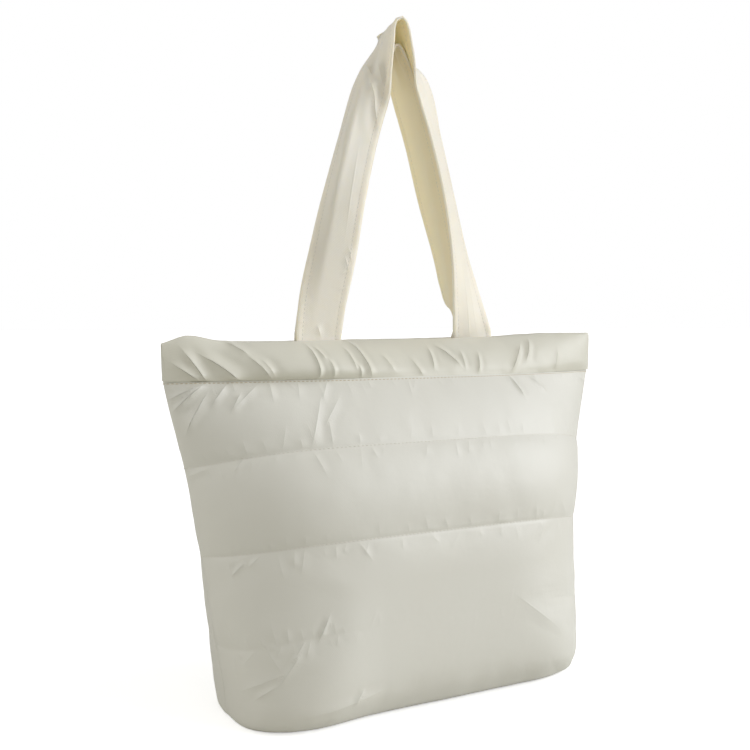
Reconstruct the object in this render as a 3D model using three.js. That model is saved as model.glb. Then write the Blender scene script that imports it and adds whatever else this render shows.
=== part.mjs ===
// A quilted puffer tote bag that stands on its base with both straps raised.
// Millimetres, Z up, X along the mouth, the front faces -Y, origin at the bottom centre of the base.
import * as THREE from "three";

// Gaps between sewn pieces
const SEWN_GAP = 0.3;
const HALF_GAP = SEWN_GAP / 2;

// Rim and band
const RIM_HEIGHT = 340;
const RIM_SAG = 2;
const RIM_HALF_WIDTH = 236;
const RIM_HALF_MOUTH = 6.7;
const BAND_SEAM_HEIGHT = 303;
const RIM_END_DROP = 5;
const RIM_TILT = 2.5;
const BAND_THICKNESS = 13;
const BAND_BULGE_IN = 2.4;
const BAND_LOW_POWER = 0.9;
const BAND_PINCH_POWER = 2.4;
const BAND_ROUNDNESS = 0.6;
const BAND_LOW_ROUNDNESS = 1.3;
const BAND_END_POWER = 24;
const BAND_LEFT_POWER = 6;
const BAND_BELLY = { along: -120, width: 65, depth: 10 };
const RIM_HUMPS = [
  { share: -0.92, width: 0.1, rise: 6 },
  { share: 0.72, width: 0.2, rise: 2 },
];
const BODY_LEAN = { left: 4, from: 15, to: 110 };

// Quilted walls
const WALL_AT_SEAM = 2.5;
const LINING_SWELL = 1.5;
const PUFF = 3.5;
const LEFT_PUFF = 9;
const LEFT_PUFF_FROM = 0.35;
const LEFT_PUFF_FULL = 0.75;
const SIDE_PINCH_POWER = 3.2;
const PUFF_ROUNDNESS = 0.75;

// Base
const BASE_ROUND_HEIGHT = 6.5;
const BASE_ROUND_INSET = 4.8;
const BASE_ROUND_POWER = 0.85;
const BASE_THICKNESS = 8;
const BASE_EDGE_THICKNESS = 3;

// Straps
const STRAP_WIDTH = 45;
const STRAP_THICKNESS = 2.6;
const STRAP_FOLD_AT = -0.33;
const STRAP_CURL_AT = 0.35;
const STRAP_BEND_SPAN = 0.3;

// Mesh fineness
const PANEL_COLUMNS = 28;
const BAND_COLUMNS = 54;
const BASE_POINTS = 44;
const STRAP_STATIONS = 38;
const STRAP_SHARES = [-1, -0.66, -0.33, 0, 0.35, 0.68, 1];

// Plan sections of the sewn walls by height, before the filling puffs them out
const BODY_SECTIONS = [
  { height: 0, halfWidth: 183, halfDepth: 65, sidePower: 9.2, cornerPower: 0.4 },
  { height: 27, halfWidth: 185.5, halfDepth: 79.5, sidePower: 8.6, cornerPower: 0.48 },
  { height: 118, halfWidth: 197, halfDepth: 89.5, sidePower: 4.8, cornerPower: 0.7 },
  { height: 219, halfWidth: 215, halfDepth: 89.5, sidePower: 3.6, cornerPower: 0.85 },
  { height: 303, halfWidth: 235, halfDepth: 42, sidePower: 2.4, cornerPower: 0.9 },
  { height: 340, halfWidth: 236, halfDepth: 24, sidePower: 2.3, cornerPower: 0.9 },
];

// Stitched seams across the walls, from the band down: height at mid bag, how far the ends droop and how
// firmly the seam holds the cloth in at mid bag
const SEAMS = [
  { name: "band seam", middle: BAND_SEAM_HEIGHT - HALF_GAP, droop: 0, hold: 1, rowsBelow: 5 },
  { name: "upper seam", middle: 247, droop: 20, hold: 1, rowsBelow: 6 },
  { name: "middle seam", middle: 168.5, droop: 20, hold: 1, rowsBelow: 6 },
  { name: "lower seam", middle: 92, droop: 24, hold: 0.06, rowsBelow: 7 },
];
const SEAM_DROOP_POWER = 4;
const SEAM_END_HOLD = 0.85;
const SEAM_END_POWER = 6;

// Gathered folds in the band: place along the mouth, lean from bottom to top, width and depth
const BAND_FOLDS = [
  { along: -214, lean: 16, width: 9, depth: 2.2 },
  { along: -190, lean: 22, width: 8, depth: 2.6 },
  { along: -128, lean: -14, width: 10, depth: 1.6 },
  { along: -92, lean: 18, width: 8, depth: 2.6 },
  { along: -66, lean: 14, width: 8, depth: 2 },
  { along: -14, lean: -12, width: 11, depth: 1.4 },
  { along: 48, lean: 16, width: 8, depth: 2.4 },
  { along: 74, lean: 20, width: 9, depth: 2.2 },
  { along: 136, lean: -16, width: 9, depth: 2.4 },
  { along: 160, lean: -20, width: 8, depth: 2 },
  { along: 212, lean: -12, width: 9, depth: 2 },
];

// Slack folds in the walls: centre, direction, length, width and depth
const WALL_FOLDS = [
  { along: -150, height: 40, angle: -38, length: 60, width: 13, depth: 4 },
  { along: -172, height: 70, angle: -30, length: 40, width: 12, depth: 3 },
  { along: 158, height: 70, angle: 35, length: 50, width: 13, depth: 3.5 },
  { along: -196, height: 236, angle: -24, length: 34, width: 12, depth: 3 },
  { along: -178, height: 156, angle: -26, length: 34, width: 12, depth: 3 },
  { along: 190, height: 236, angle: 24, length: 30, width: 12, depth: 2.5 },
];

// Routes of the raised straps, left foot to right foot, measured from the rim.
// turn is how far the ribbon's inner edge has swung forward, in degrees; fold and curl bend its outer
// and inner thirds further; width is the share of the full width left where the cloth is gathered.
const STRAP_ROUTES = {
  front: [
    { across: -88.5, depth: -4.2, rise: 0, turn: 0, fold: 0, curl: 0, width: 1 },
    { across: -85, depth: -4.6, rise: 27, turn: 2, fold: 10, curl: 0, width: 1 },
    { across: -74.5, depth: -6, rise: 78, turn: 4, fold: 42, curl: 0, width: 1 },
    { across: -64.5, depth: -8, rise: 135, turn: 2, fold: 74, curl: 0, width: 1 },
    { across: -51, depth: -9, rise: 191, turn: -4, fold: 94, curl: 0, width: 1 },
    { across: -41, depth: -8, rise: 222, turn: 10, fold: 76, curl: 0, width: 0.92 },
    { across: -29.5, depth: -3, rise: 251, turn: 56, fold: 30, curl: 0, width: 0.84 },
    { across: -15.5, depth: 0, rise: 279, turn: 97, fold: 0, curl: 0, width: 0.95 },
    { across: -10.5, depth: 0, rise: 293, turn: 100, fold: 0, curl: 0, width: 1 },
    { across: 0, depth: 0, rise: 275, turn: 90, fold: 0, curl: 0, width: 0.98 },
    { across: 23, depth: -1, rise: 245, turn: 41, fold: 0, curl: 0, width: 0.95 },
    { across: 40, depth: -3, rise: 191, turn: 45, fold: 0, curl: 0, width: 1 },
    { across: 55, depth: -4, rise: 135, turn: 45, fold: 0, curl: 0, width: 1 },
    { across: 67, depth: -5, rise: 78, turn: 37, fold: 0, curl: 0, width: 1 },
    { across: 77.5, depth: -4.6, rise: 27, turn: 16, fold: 0, curl: 0, width: 1 },
    { across: 83, depth: -3.8, rise: 0, turn: 0, fold: 0, curl: 0, width: 1 },
  ],
  back: [
    { across: -86, depth: 4.2, rise: 0, turn: 0, fold: 0, curl: 0, width: 1 },
    { across: -81.6, depth: 2.3, rise: 27, turn: 2, fold: 10, curl: 0, width: 1 },
    { across: -71.3, depth: -1, rise: 78, turn: 4, fold: 42, curl: 0, width: 1 },
    { across: -61.3, depth: -3, rise: 135, turn: 2, fold: 74, curl: 0, width: 1 },
    { across: -47, depth: -3.5, rise: 191, turn: -4, fold: 94, curl: 0, width: 1 },
    { across: -36.8, depth: -2, rise: 222, turn: 10, fold: 76, curl: 0, width: 0.92 },
    { across: -27, depth: 2.5, rise: 244, turn: 52, fold: 34, curl: 0, width: 0.84 },
    { across: -17, depth: 3.5, rise: 261, turn: 82, fold: 0, curl: 0, width: 0.7 },
    { across: -7.5, depth: 4, rise: 274, turn: 90, fold: 0, curl: 0, width: 0.62 },
    { across: 4, depth: 9.5, rise: 260, turn: 91, fold: 0, curl: 0, width: 0.8 },
    { across: 15, depth: 17, rise: 240, turn: 91, fold: 0, curl: 0, width: 1 },
    { across: 32, depth: 19, rise: 191, turn: 89, fold: 0, curl: 12, width: 1 },
    { across: 48, depth: 21, rise: 135, turn: 86, fold: 0, curl: 22, width: 1 },
    { across: 61.5, depth: 18, rise: 78, turn: 78, fold: 0, curl: 22, width: 1 },
    { across: 66.5, depth: 18, rise: 50, turn: 72, fold: 0, curl: 16, width: 1 },
    { across: 71, depth: 16.5, rise: 27, turn: 62, fold: 0, curl: 14, width: 1 },
    { across: 78, depth: 11, rise: 12, turn: 34, fold: 0, curl: 10, width: 1 },
    { across: 83, depth: 3.8, rise: 0, turn: 0, fold: 0, curl: 0, width: 1 },
  ],
};
const STRAP_FOOT_LEVELS = [310, 316, 322, 328, 335];
const STRAP_FOOT_CLEARANCE = 2.5;

const shell = new THREE.MeshStandardMaterial({ color: 0xe9e4d8, roughness: 0.5, name: "quilted_shell" });
const webbing = new THREE.MeshStandardMaterial({ color: 0xe6ddcd, roughness: 0.55, name: "strap_fabric" });

// A smooth value read from a table by one of its columns
function fromTable(table, key, column, at) {
  const last = table.length - 1;
  const slope = (i) => {
    const a = table[Math.max(i - 1, 0)];
    const b = table[Math.min(i + 1, last)];
    return (b[column] - a[column]) / (b[key] - a[key]);
  };
  if (at <= table[0][key]) return table[0][column];
  if (at >= table[last][key]) return table[last][column];
  const i = table.findIndex((row, n) => n < last && at <= table[n + 1][key]);
  const span = table[i + 1][key] - table[i][key];
  const t = (at - table[i][key]) / span;
  const from = table[i][column];
  const to = table[i + 1][column];
  const rise = to - from;
  const startBend = slope(i) * span - rise;
  const endBend = rise - slope(i + 1) * span;
  return from + t * rise + t * (1 - t) * ((1 - t) * startBend + t * endBend);
}

// How deep the plan section is at a share of the half width
function lens(share, sidePower, cornerPower) {
  return Math.max(0, 1 - Math.abs(share) ** sidePower) ** cornerPower;
}

// A point of the sewn front wall; inset draws it in where the base edge rounds under
function sewnPoint(turn, height, inset) {
  const section = (column) => fromTable(BODY_SECTIONS, "height", column, height);
  const share = Math.sin((turn * Math.PI) / 2);
  const depth = lens(share, section("sidePower"), section("cornerPower"));
  return new THREE.Vector3(
    share * (section("halfWidth") - inset),
    -Math.max(HALF_GAP, (section("halfDepth") - inset) * depth),
    height,
  );
}

// Push of the slack folds on the wall at a place
function foldDepth(folds, x, z) {
  return folds.reduce((sum, fold) => {
    const lean = THREE.MathUtils.degToRad(fold.angle);
    const dx = x - fold.along;
    const dz = z - fold.height;
    const along = dx * Math.cos(lean) + dz * Math.sin(lean);
    const across = -dx * Math.sin(lean) + dz * Math.cos(lean);
    return sum + fold.depth * Math.exp(-((along / fold.length) ** 2) - (across / fold.width) ** 2);
  }, 0);
}

// Height of the puff at a share of the half width, fuller toward the left end
function puffAt(share) {
  const left = THREE.MathUtils.smoothstep(-share, LEFT_PUFF_FROM, LEFT_PUFF_FULL);
  return THREE.MathUtils.lerp(PUFF, LEFT_PUFF, left);
}

// Rows of the front wall: where each row runs and how far through its channel it lies
function wallRows() {
  const rows = [];
  SEAMS.forEach((seam, n) => {
    const next = SEAMS[n + 1];
    for (let i = 0; i < seam.rowsBelow; i += 1) rows.push({ seam, next, through: i / seam.rowsBelow });
  });
  rows.push({ seam: SEAMS[SEAMS.length - 1], next: undefined, through: 1 });
  return rows;
}

// Height and inset of a wall row at a share of the half width
function rowPlace(row, share) {
  const droop = Math.abs(share) ** SEAM_DROOP_POWER;
  const top = row.seam.middle - row.seam.droop * droop;
  if (row.next) {
    const bottom = row.next.middle - row.next.droop * droop;
    return { height: top + (bottom - top) * row.through, inset: 0 };
  }
  const straight = 0.6;
  if (row.through <= straight) {
    return { height: top + ((BASE_ROUND_HEIGHT - top) * row.through) / straight, inset: 0 };
  }
  const round = ((row.through - straight) / (1 - straight)) * (Math.PI / 2);
  return {
    height: BASE_ROUND_HEIGHT * (1 - Math.sin(round) ** BASE_ROUND_POWER),
    inset: BASE_ROUND_INSET * (1 - Math.max(0, Math.cos(round)) ** BASE_ROUND_POWER),
  };
}

// How full a wall row is at a share of the half width, drawn in toward its seams
function fillAt(row, share) {
  const seam = row.through < 0.5 ? row.seam : row.next;
  const middle = seam ? seam.hold : 1;
  const hold = Math.max(middle, THREE.MathUtils.lerp(middle, SEAM_END_HOLD, Math.abs(share) ** SEAM_END_POWER));
  return 1 - (1 - Math.sin(Math.PI * row.through) ** PUFF_ROUNDNESS) * hold;
}

// Outer and inner faces of the front wall as two grids of points
function wallFaces() {
  const rows = wallRows();
  const turns = Array.from({ length: PANEL_COLUMNS + 1 }, (_, i) => (2 * i) / PANEL_COLUMNS - 1);
  const sewn = rows.map((row) => turns.map((turn) => {
    const { height, inset } = rowPlace(row, Math.sin((turn * Math.PI) / 2));
    return sewnPoint(turn, height, inset);
  }));
  const outward = (r, c) => {
    if (c === 0 || c === PANEL_COLUMNS) return new THREE.Vector3(c ? 1 : -1, 0, 0);
    const across = sewn[r][c + 1].clone().sub(sewn[r][c - 1]);
    const down = sewn[Math.min(r + 1, rows.length - 1)][c].clone().sub(sewn[Math.max(r - 1, 0)][c]);
    return down.cross(across).normalize();
  };
  const outer = [];
  const inner = [];
  rows.forEach((row, r) => {
    outer.push([]);
    inner.push([]);
    turns.forEach((turn, c) => {
      const normal = r === rows.length - 1 ? new THREE.Vector3(0, 0, -1) : outward(r, c);
      const pinch = 1 - Math.abs(turn) ** SIDE_PINCH_POWER;
      const share = Math.sin((turn * Math.PI) / 2);
      const fill = fillAt(row, share) * pinch;
      const fold = foldDepth(WALL_FOLDS, sewn[r][c].x, sewn[r][c].z) * fill;
      const puff = puffAt(share);
      const wall = WALL_AT_SEAM + (LINING_SWELL + puff) * fill - fold;
      const onOuter = sewn[r][c].clone().addScaledVector(normal, puff * fill - fold);
      const onInner = onOuter.clone().addScaledVector(normal, -wall);
      [onOuter, onInner].forEach((point) => {
        point.y = Math.min(point.y, -HALF_GAP);
        point.z = Math.max(point.z, SEWN_GAP);
      });
      outer[r].push(onOuter);
      inner[r].push(onInner);
    });
  });
  return { outer, inner };
}

// A closed body from triangles over shared points, turned so that it faces outward
function body(points, triangles) {
  const volume = triangles.reduce((sum, [a, b, c]) => {
    const normal = points[b].clone().cross(points[c]);
    return sum + points[a].dot(normal) / 6;
  }, 0);
  const facing = volume < 0 ? triangles.map(([a, b, c]) => [a, c, b]) : triangles;
  const geometry = new THREE.BufferGeometry();
  const flat = points.flatMap((point) => point.toArray());
  geometry.setAttribute("position", new THREE.Float32BufferAttribute(flat, 3));
  geometry.setIndex(facing.flat());
  geometry.computeVertexNormals();
  return geometry;
}

// A wall solid between two grids of points
function wallBody({ outer, inner }) {
  const columns = outer[0].length;
  const rows = outer.length;
  const points = [...outer.flat(), ...inner.flat()];
  const front = (r, c) => r * columns + c;
  const back = (r, c) => rows * columns + r * columns + c;
  const triangles = [];
  const quad = (a, b, c, d) => triangles.push([a, b, c], [a, c, d]);
  for (let r = 0; r < rows - 1; r += 1) {
    for (let c = 0; c < columns - 1; c += 1) {
      quad(front(r, c), front(r + 1, c), front(r + 1, c + 1), front(r, c + 1));
      quad(back(r, c), back(r, c + 1), back(r + 1, c + 1), back(r + 1, c));
    }
    quad(front(r, 0), back(r, 0), back(r + 1, 0), front(r + 1, 0));
    quad(front(r, columns - 1), front(r + 1, columns - 1), back(r + 1, columns - 1), back(r, columns - 1));
  }
  for (let c = 0; c < columns - 1; c += 1) {
    quad(front(0, c), front(0, c + 1), back(0, c + 1), back(0, c));
    quad(front(rows - 1, c), back(rows - 1, c), back(rows - 1, c + 1), front(rows - 1, c + 1));
  }
  return body(points, triangles);
}

// A solid lofted through closed loops of points, with a fan over each end
function loftBody(loops) {
  const sides = loops[0].length;
  const points = loops.flat();
  const triangles = [];
  for (let n = 0; n < loops.length - 1; n += 1) {
    for (let i = 0; i < sides; i += 1) {
      const a = n * sides + i;
      const b = n * sides + ((i + 1) % sides);
      triangles.push([a, b, b + sides], [a, b + sides, a + sides]);
    }
  }
  const middle = (loop) => loop.reduce((sum, p) => sum.add(p), new THREE.Vector3()).divideScalar(sides);
  const first = points.push(middle(loops[0])) - 1;
  const last = points.push(middle(loops[loops.length - 1])) - 1;
  const lastLoop = (loops.length - 1) * sides;
  for (let i = 0; i < sides; i += 1) {
    const next = (i + 1) % sides;
    triangles.push([first, next, i], [last, lastLoop + i, lastLoop + next]);
  }
  return body(points, triangles);
}

// The same solid on the other side of the bag
function mirrored(geometry) {
  const copy = geometry.clone().scale(1, -1, 1);
  const index = copy.getIndex();
  for (let i = 0; i < index.count; i += 3) {
    const b = index.getX(i + 1);
    index.setX(i + 1, index.getX(i + 2));
    index.setX(i + 2, b);
  }
  copy.computeVertexNormals();
  return copy;
}

// Inner and outer face of the front band at a share along the mouth and a share of its height
function bandAt(share, up) {
  const seam = (column) => fromTable(BODY_SECTIONS, "height", column, BAND_SEAM_HEIGHT);
  const opening = lens(share, seam("sidePower"), seam("cornerPower"));
  const seamDepth = seam("halfDepth") - WALL_AT_SEAM;
  const innerDepth = HALF_GAP + THREE.MathUtils.lerp(seamDepth, RIM_HALF_MOUTH, up) * opening;
  const x = share * THREE.MathUtils.lerp(seam("halfWidth"), RIM_HALF_WIDTH, up);
  const ends = 1 - Math.abs(share) ** (share < 0 ? BAND_LEFT_POWER : BAND_END_POWER);
  const roundness = THREE.MathUtils.lerp(BAND_LOW_ROUNDNESS, BAND_ROUNDNESS, Math.min(1, 2 * up));
  const roll = Math.max(0, 1 - Math.abs(2 * up ** BAND_LOW_POWER - 1) ** BAND_PINCH_POWER) ** roundness;
  const belly = BAND_BELLY.depth * Math.exp(-(((x - BAND_BELLY.along) / BAND_BELLY.width) ** 2));
  const folds = BAND_FOLDS.reduce((sum, fold) => {
    const off = (x - fold.along - fold.lean * (up - 0.5)) / fold.width;
    return sum + fold.depth * Math.exp(-off * off);
  }, 0);
  const pinched = WALL_AT_SEAM * Math.sqrt(Math.max(0, 1 - up ** 6));
  const thickness = pinched + (BAND_THICKNESS - WALL_AT_SEAM + belly) * roll * ends - folds * roll;
  const bulgeIn = BAND_BULGE_IN * roll * ends * opening;
  const endDrop = RIM_END_DROP * THREE.MathUtils.smoothstep(-share, 0.88, 1);
  const hump = RIM_HUMPS.reduce((sum, h) => sum + h.rise * Math.exp(-(((share - h.share) / h.width) ** 2)), 0);
  const top = RIM_HEIGHT - RIM_SAG * (1 - share ** 4) + RIM_TILT * share + hump - endDrop;
  const z = THREE.MathUtils.lerp(BAND_SEAM_HEIGHT + HALF_GAP, top, up);
  const innerY = -Math.max(HALF_GAP, innerDepth - bulgeIn);
  return { x, z, innerY, outerY: innerY - Math.max(thickness, 0) };
}

// The front band: outer face upward, over the rim, inner face downward
function bandBody() {
  const levels = [0, 0.12, 0.3, 0.52, 0.74, 0.91];
  const loops = Array.from({ length: BAND_COLUMNS + 1 }, (_, i) => {
    const share = Math.sin(((2 * i) / BAND_COLUMNS - 1) * 1.25) / Math.sin(1.25);
    const faces = levels.map((up) => bandAt(share, up));
    const rim = bandAt(share, 1);
    return [
      ...faces.map((p) => new THREE.Vector3(p.x, p.outerY, p.z)),
      new THREE.Vector3(rim.x, (rim.innerY + faces[levels.length - 1].outerY) / 2, rim.z),
      ...faces.reverse().map((p) => new THREE.Vector3(p.x, p.innerY, p.z)),
    ];
  });
  return loftBody(loops);
}

// The base: a flat underside with rounded edges and a slightly domed top
function baseBody() {
  const profile = [
    { inset: 2, height: 0 },
    { inset: 0, height: 1 },
    { inset: 0.6, height: BASE_EDGE_THICKNESS },
    { inset: 12, height: BASE_THICKNESS - 1 },
    { inset: 30, height: BASE_THICKNESS },
  ];
  const loops = profile.map(({ inset, height }) => Array.from({ length: BASE_POINTS }, (_, i) => {
    const round = (i / BASE_POINTS) * 4;
    const half = round < 2 ? round - 1 : 3 - round;
    const edge = sewnPoint(half, 0, BASE_ROUND_INSET + SEWN_GAP * 2 + inset);
    const side = round < 2 ? 1 : -1;
    const y = Math.abs(half) === 1 ? 0 : edge.y * side;
    return new THREE.Vector3(edge.x, y, height);
  }));
  return loftBody(loops);
}

// How far along and off the ribbon's flat line a share of its half width lies when it is bent
function bentAt(share, fold, curl) {
  const steps = 24;
  let along = 0;
  let off = 0;
  for (let i = 0; i < steps; i += 1) {
    const at = (share * (i + 0.5)) / steps;
    const half = STRAP_BEND_SPAN / 2;
    const folded = fold * THREE.MathUtils.smoothstep(STRAP_FOLD_AT - at, -half, half);
    const curled = curl * THREE.MathUtils.smoothstep(at - STRAP_CURL_AT, -half, half);
    const angle = THREE.MathUtils.degToRad(folded + curled);
    along += (Math.cos(angle) * share) / steps;
    off += (Math.sin(angle) * share) / steps;
  }
  return { along, off };
}

// Spine points across one strap at a station of its route
function strapSpine(centre, tangent, { turn, fold, curl, width }) {
  const angle = THREE.MathUtils.degToRad(turn);
  const inward = new THREE.Vector3(tangent.z, 0, -tangent.x).normalize();
  const across = inward.multiplyScalar(Math.cos(angle)).add(new THREE.Vector3(0, -Math.sin(angle), 0));
  const normal = across.clone().cross(tangent).normalize();
  return STRAP_SHARES.map((share) => {
    const { along, off } = bentAt(share, fold, curl);
    const half = (width * STRAP_WIDTH) / 2;
    return centre.clone().addScaledVector(across, along * half).addScaledVector(normal, off * half);
  });
}

// Depth of the band's inner face at a place
function bandInnerDepth(x, z) {
  const up = (z - BAND_SEAM_HEIGHT) / (RIM_HEIGHT - RIM_SAG - BAND_SEAM_HEIGHT);
  return -bandAt(x / RIM_HALF_WIDTH, up).innerY;
}

// Spine points of a sewn foot, against the inner face of the band
function footSpine(foot, z, side) {
  const toMiddle = -Math.sign(foot.across);
  return STRAP_SHARES.map((share) => {
    const x = foot.across + (toMiddle * share * STRAP_WIDTH) / 2;
    return new THREE.Vector3(x, side * (bandInnerDepth(x, z) - STRAP_FOOT_CLEARANCE), z);
  });
}

// One strap: a foot sewn inside the band, a raised loop, and the other foot
function strapBody(route, side) {
  const places = route.map((row) => new THREE.Vector3(row.across, row.depth, RIM_HEIGHT + row.rise));
  const curve = new THREE.CatmullRomCurve3(places, false, "centripetal");
  const steps = route.map((row, n) => ({ ...row, step: n / (route.length - 1) }));
  const loop = Array.from({ length: STRAP_STATIONS + 1 }, (_, i) => {
    const at = i / STRAP_STATIONS;
    const [turn, fold, curl, width] = ["turn", "fold", "curl", "width"].map((name) => fromTable(steps, "step", name, at));
    return strapSpine(curve.getPoint(at), curve.getTangent(at), { turn, fold, curl, width });
  });
  const leftFoot = STRAP_FOOT_LEVELS.map((z) => footSpine(route[0], z, side));
  const rightFoot = STRAP_FOOT_LEVELS.map((z) => footSpine(route[route.length - 1], z, side)).reverse();
  return ribbonBody([...leftFoot, ...loop, ...rightFoot], STRAP_THICKNESS);
}

// A ribbon of even thickness around rows of spine points
function ribbonBody(spine, thickness) {
  const between = (list, n) => [list[Math.max(n - 1, 0)], list[Math.min(n + 1, list.length - 1)]];
  const loops = spine.map((row, r) => {
    const faces = [1, -1].map((side) => row.map((point, n) => {
      const [left, right] = between(row, n);
      const [before, after] = between(spine, r).map((other) => other[n]);
      const normal = right.clone().sub(left).cross(after.clone().sub(before)).normalize();
      return point.clone().addScaledVector(normal, (side * thickness) / 2);
    }));
    return [...faces[0], ...faces[1].reverse()];
  });
  return loftBody(loops);
}

// The cloth above the foot hangs a little to the left of the base
function leaned(geometry) {
  const copy = geometry.clone();
  const place = copy.getAttribute("position");
  for (let i = 0; i < place.count; i += 1) {
    const share = THREE.MathUtils.smoothstep(place.getZ(i), BODY_LEAN.from, BODY_LEAN.to);
    place.setX(i, place.getX(i) - BODY_LEAN.left * share);
  }
  copy.computeVertexNormals();
  return copy;
}

const tote = new THREE.Group();
tote.name = "tote_bag";
const add = (name, geometry, material) => {
  const mesh = new THREE.Mesh(leaned(geometry), material);
  mesh.name = name;
  tote.add(mesh);
};

const wall = wallBody(wallFaces());
const band = bandBody();
add("base_panel", baseBody(), shell);
add("front_panel", wall, shell);
add("back_panel", wall.clone().rotateZ(Math.PI), shell);
add("front_band", band, shell);
add("back_band", mirrored(band), shell);
add("front_strap", strapBody(STRAP_ROUTES.front, -1), webbing);
add("back_strap", strapBody(STRAP_ROUTES.back, 1), webbing);

export default tote;
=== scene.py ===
"""A quilted puffer tote bag: padded walls, a banded mouth, a base and two twisted straps."""

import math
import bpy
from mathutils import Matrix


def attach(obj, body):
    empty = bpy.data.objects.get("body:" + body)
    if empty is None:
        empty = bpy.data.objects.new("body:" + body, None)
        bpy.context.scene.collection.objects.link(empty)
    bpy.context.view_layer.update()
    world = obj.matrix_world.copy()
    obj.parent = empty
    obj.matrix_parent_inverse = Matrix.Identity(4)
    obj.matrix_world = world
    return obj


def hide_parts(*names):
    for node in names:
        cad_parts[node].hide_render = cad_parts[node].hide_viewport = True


bl_info = {
    "name": "Quilted Tote Bag",
    "version": (1, 0, 0),
    "blender": (4, 5, 0),
    "location": "3D View > Sidebar > Tote",
    "description": "Makes the padded walls, mouth bands, base, straps and stitching of a tote bag",
    "category": "Mesh",
}

from collections import namedtuple

import bpy
import numpy as np
from bpy.props import FloatProperty, FloatVectorProperty, IntProperty, PointerProperty
from bpy.types import Operator, Panel, PropertyGroup
from mathutils import Euler

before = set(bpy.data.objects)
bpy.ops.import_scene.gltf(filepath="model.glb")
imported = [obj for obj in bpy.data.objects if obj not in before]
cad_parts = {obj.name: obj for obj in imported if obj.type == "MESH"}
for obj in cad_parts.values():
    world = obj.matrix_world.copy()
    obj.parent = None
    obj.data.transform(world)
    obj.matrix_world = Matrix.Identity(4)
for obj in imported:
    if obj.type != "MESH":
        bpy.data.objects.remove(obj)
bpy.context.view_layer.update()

# Shapes are worked out in millimetres and made in metres
MM = 0.001

# Gaps, rim and the lean of the body over its base
SEWN_GAP = 0.3
HALF_GAP = SEWN_GAP / 2
RIM_HEIGHT = 340
RIM_SAG = 2
RIM_SAG_POWER = 4
RIM_HALF_WIDTH = 236
RIM_HALF_MOUTH = 6.7
RIM_END_DROP = 5
RIM_TILT = 2.5
RIM_DROP_FROM = 0.88
BODY_LEAN = 4
LEAN_FROM = 15
LEAN_TO = 110

# Humps of the rim: place and width as shares of half the mouth, and rise
Hump = namedtuple("Hump", "at width rise")
RIM_HUMPS = (
    Hump(-0.92, 0.1, 6),
    Hump(0.72, 0.2, 2),
)

# Bands: the padded roll, its fuller belly at the left, and how the cloth is pulled and held
BAND_SEAM_HEIGHT = 303
BAND_THICKNESS = 13
BAND_PINCH_POWER = 2.4
BAND_ROUNDNESS = 0.6
BAND_LOW_ROUNDNESS = 1.3
BAND_LOW_POWER = 0.9
BAND_RIM_POWER = 6
BAND_END_POWER = 24
BAND_LEFT_POWER = 6
BAND_BULGE_IN = 2.4
BAND_LEAN = 1.2
BAND_LEAN_POWER = 5
BELLY_ALONG = -120
BELLY_WIDTH = 65
BELLY_DEPTH = 10
BAND_PULL = 9.0
BAND_PULL_TURNS = 95
BAND_PULL_SPAN = 40
BAND_MOST_MOVE = 4.0
BAND_RUCK_SPREAD = (1.2, 1.6)
BAND_LINING_HELD = 0.8
BAND_RIM_HOLD = 0.5
BAND_CREASE_RISE = 0.1
BAND_CREASE_ROWS_IN = 4

# Quilted walls
WALL_AT_SEAM = 2.5
LINING_SWELL = 1.5
SIDE_PINCH_POWER = 3.2
PUFF_ROUNDNESS = 0.75
LEFT_PUFF_FROM = 0.35
LEFT_PUFF_SPAN = 0.4
SEAM_DROOP_POWER = 4
SEAM_END_HOLD = 0.85
SEAM_END_POWER = 6
SEAM_HELD_FILL = 0.5
SEAM_TUCK = 0.7
LAST_CHANNEL_STRAIGHT = 0.6
WALL_RUCK_SPREAD = (1.6, 1.6)
WALL_START_SWELL = 0.9
WALL_CREASE_FILL = 0.35
FLOOR_CLEARANCE = 0.4

# Base: how the walls round under to it, and the rings of its edge from the top to underneath
BASE_ROUND_HEIGHT = 6.5
BASE_ROUND_INSET = 4.8
BASE_ROUND_POWER = 0.85
BASE_THICKNESS = 8
BASE_CROWN = 0.6
BASE_FLAT_INSET = 12
BASE_FLAT_RINGS = 12
BASE_MIDDLE = 0.04
Ring = namedtuple("Ring", "inset share height")
BASE_EDGE = (
    Ring(8, 1, 6.6),
    Ring(4, 1, 5.2),
    Ring(1.6, 1, 3.9),
    Ring(0.6, 1, 3),
    Ring(0.1, 1, 2),
    Ring(0, 1, 1.1),
    Ring(0.5, 1, 0.5),
    Ring(1.6, 1, 0.15),
    Ring(3, 1, 0.05),
    Ring(4.4, 1, 0.7),
    Ring(5.6, 1, 0.75),
    Ring(7, 1, 0.1),
    Ring(12, 1, 0),
)

# Grid steps
WALL_COLUMNS = 168
DENSE_STEPS = 1601
LINING_STEP = 4
BAND_COLUMNS = 190
BAND_AROUND = 36
BAND_CLIMB_STEPS = 120
BASE_AROUND = 220

# Cloth that settles on its filling
CLOTH_SETTINGS = {
    "quality": 5,
    "mass": 0.002,
    "air_damping": 2,
    "tension_stiffness": 15,
    "compression_stiffness": 15,
    "shear_stiffness": 5,
    "bending_stiffness": 0.05,
}
SETTLE_BLUR = 2.0
SETTLE_SMOOTH = 0.85
BLUR_REACH = 3
SHARP_ANGLE = 65

# A crease: its crest, the valley beside it, its fading ends and the fine line on its crest
CREASE_DEPTH = 1.35
CREASE_REACH = 6
CREASE_RUN_REACH = 1.2
CREST_SOFT = 0.35
VALLEY_SHARE = 0.35
VALLEY_OFF = 2.4
VALLEY_SPAN = 1.5
FADE_FROM = 0.35
FADE_SPAN = 0.5
LINE_REACH = 4
LINE_SHARE = 0.5
LINE_WIDTH = 0.75
LINE_SETS = ("crease_a", "crease_b")

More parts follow.
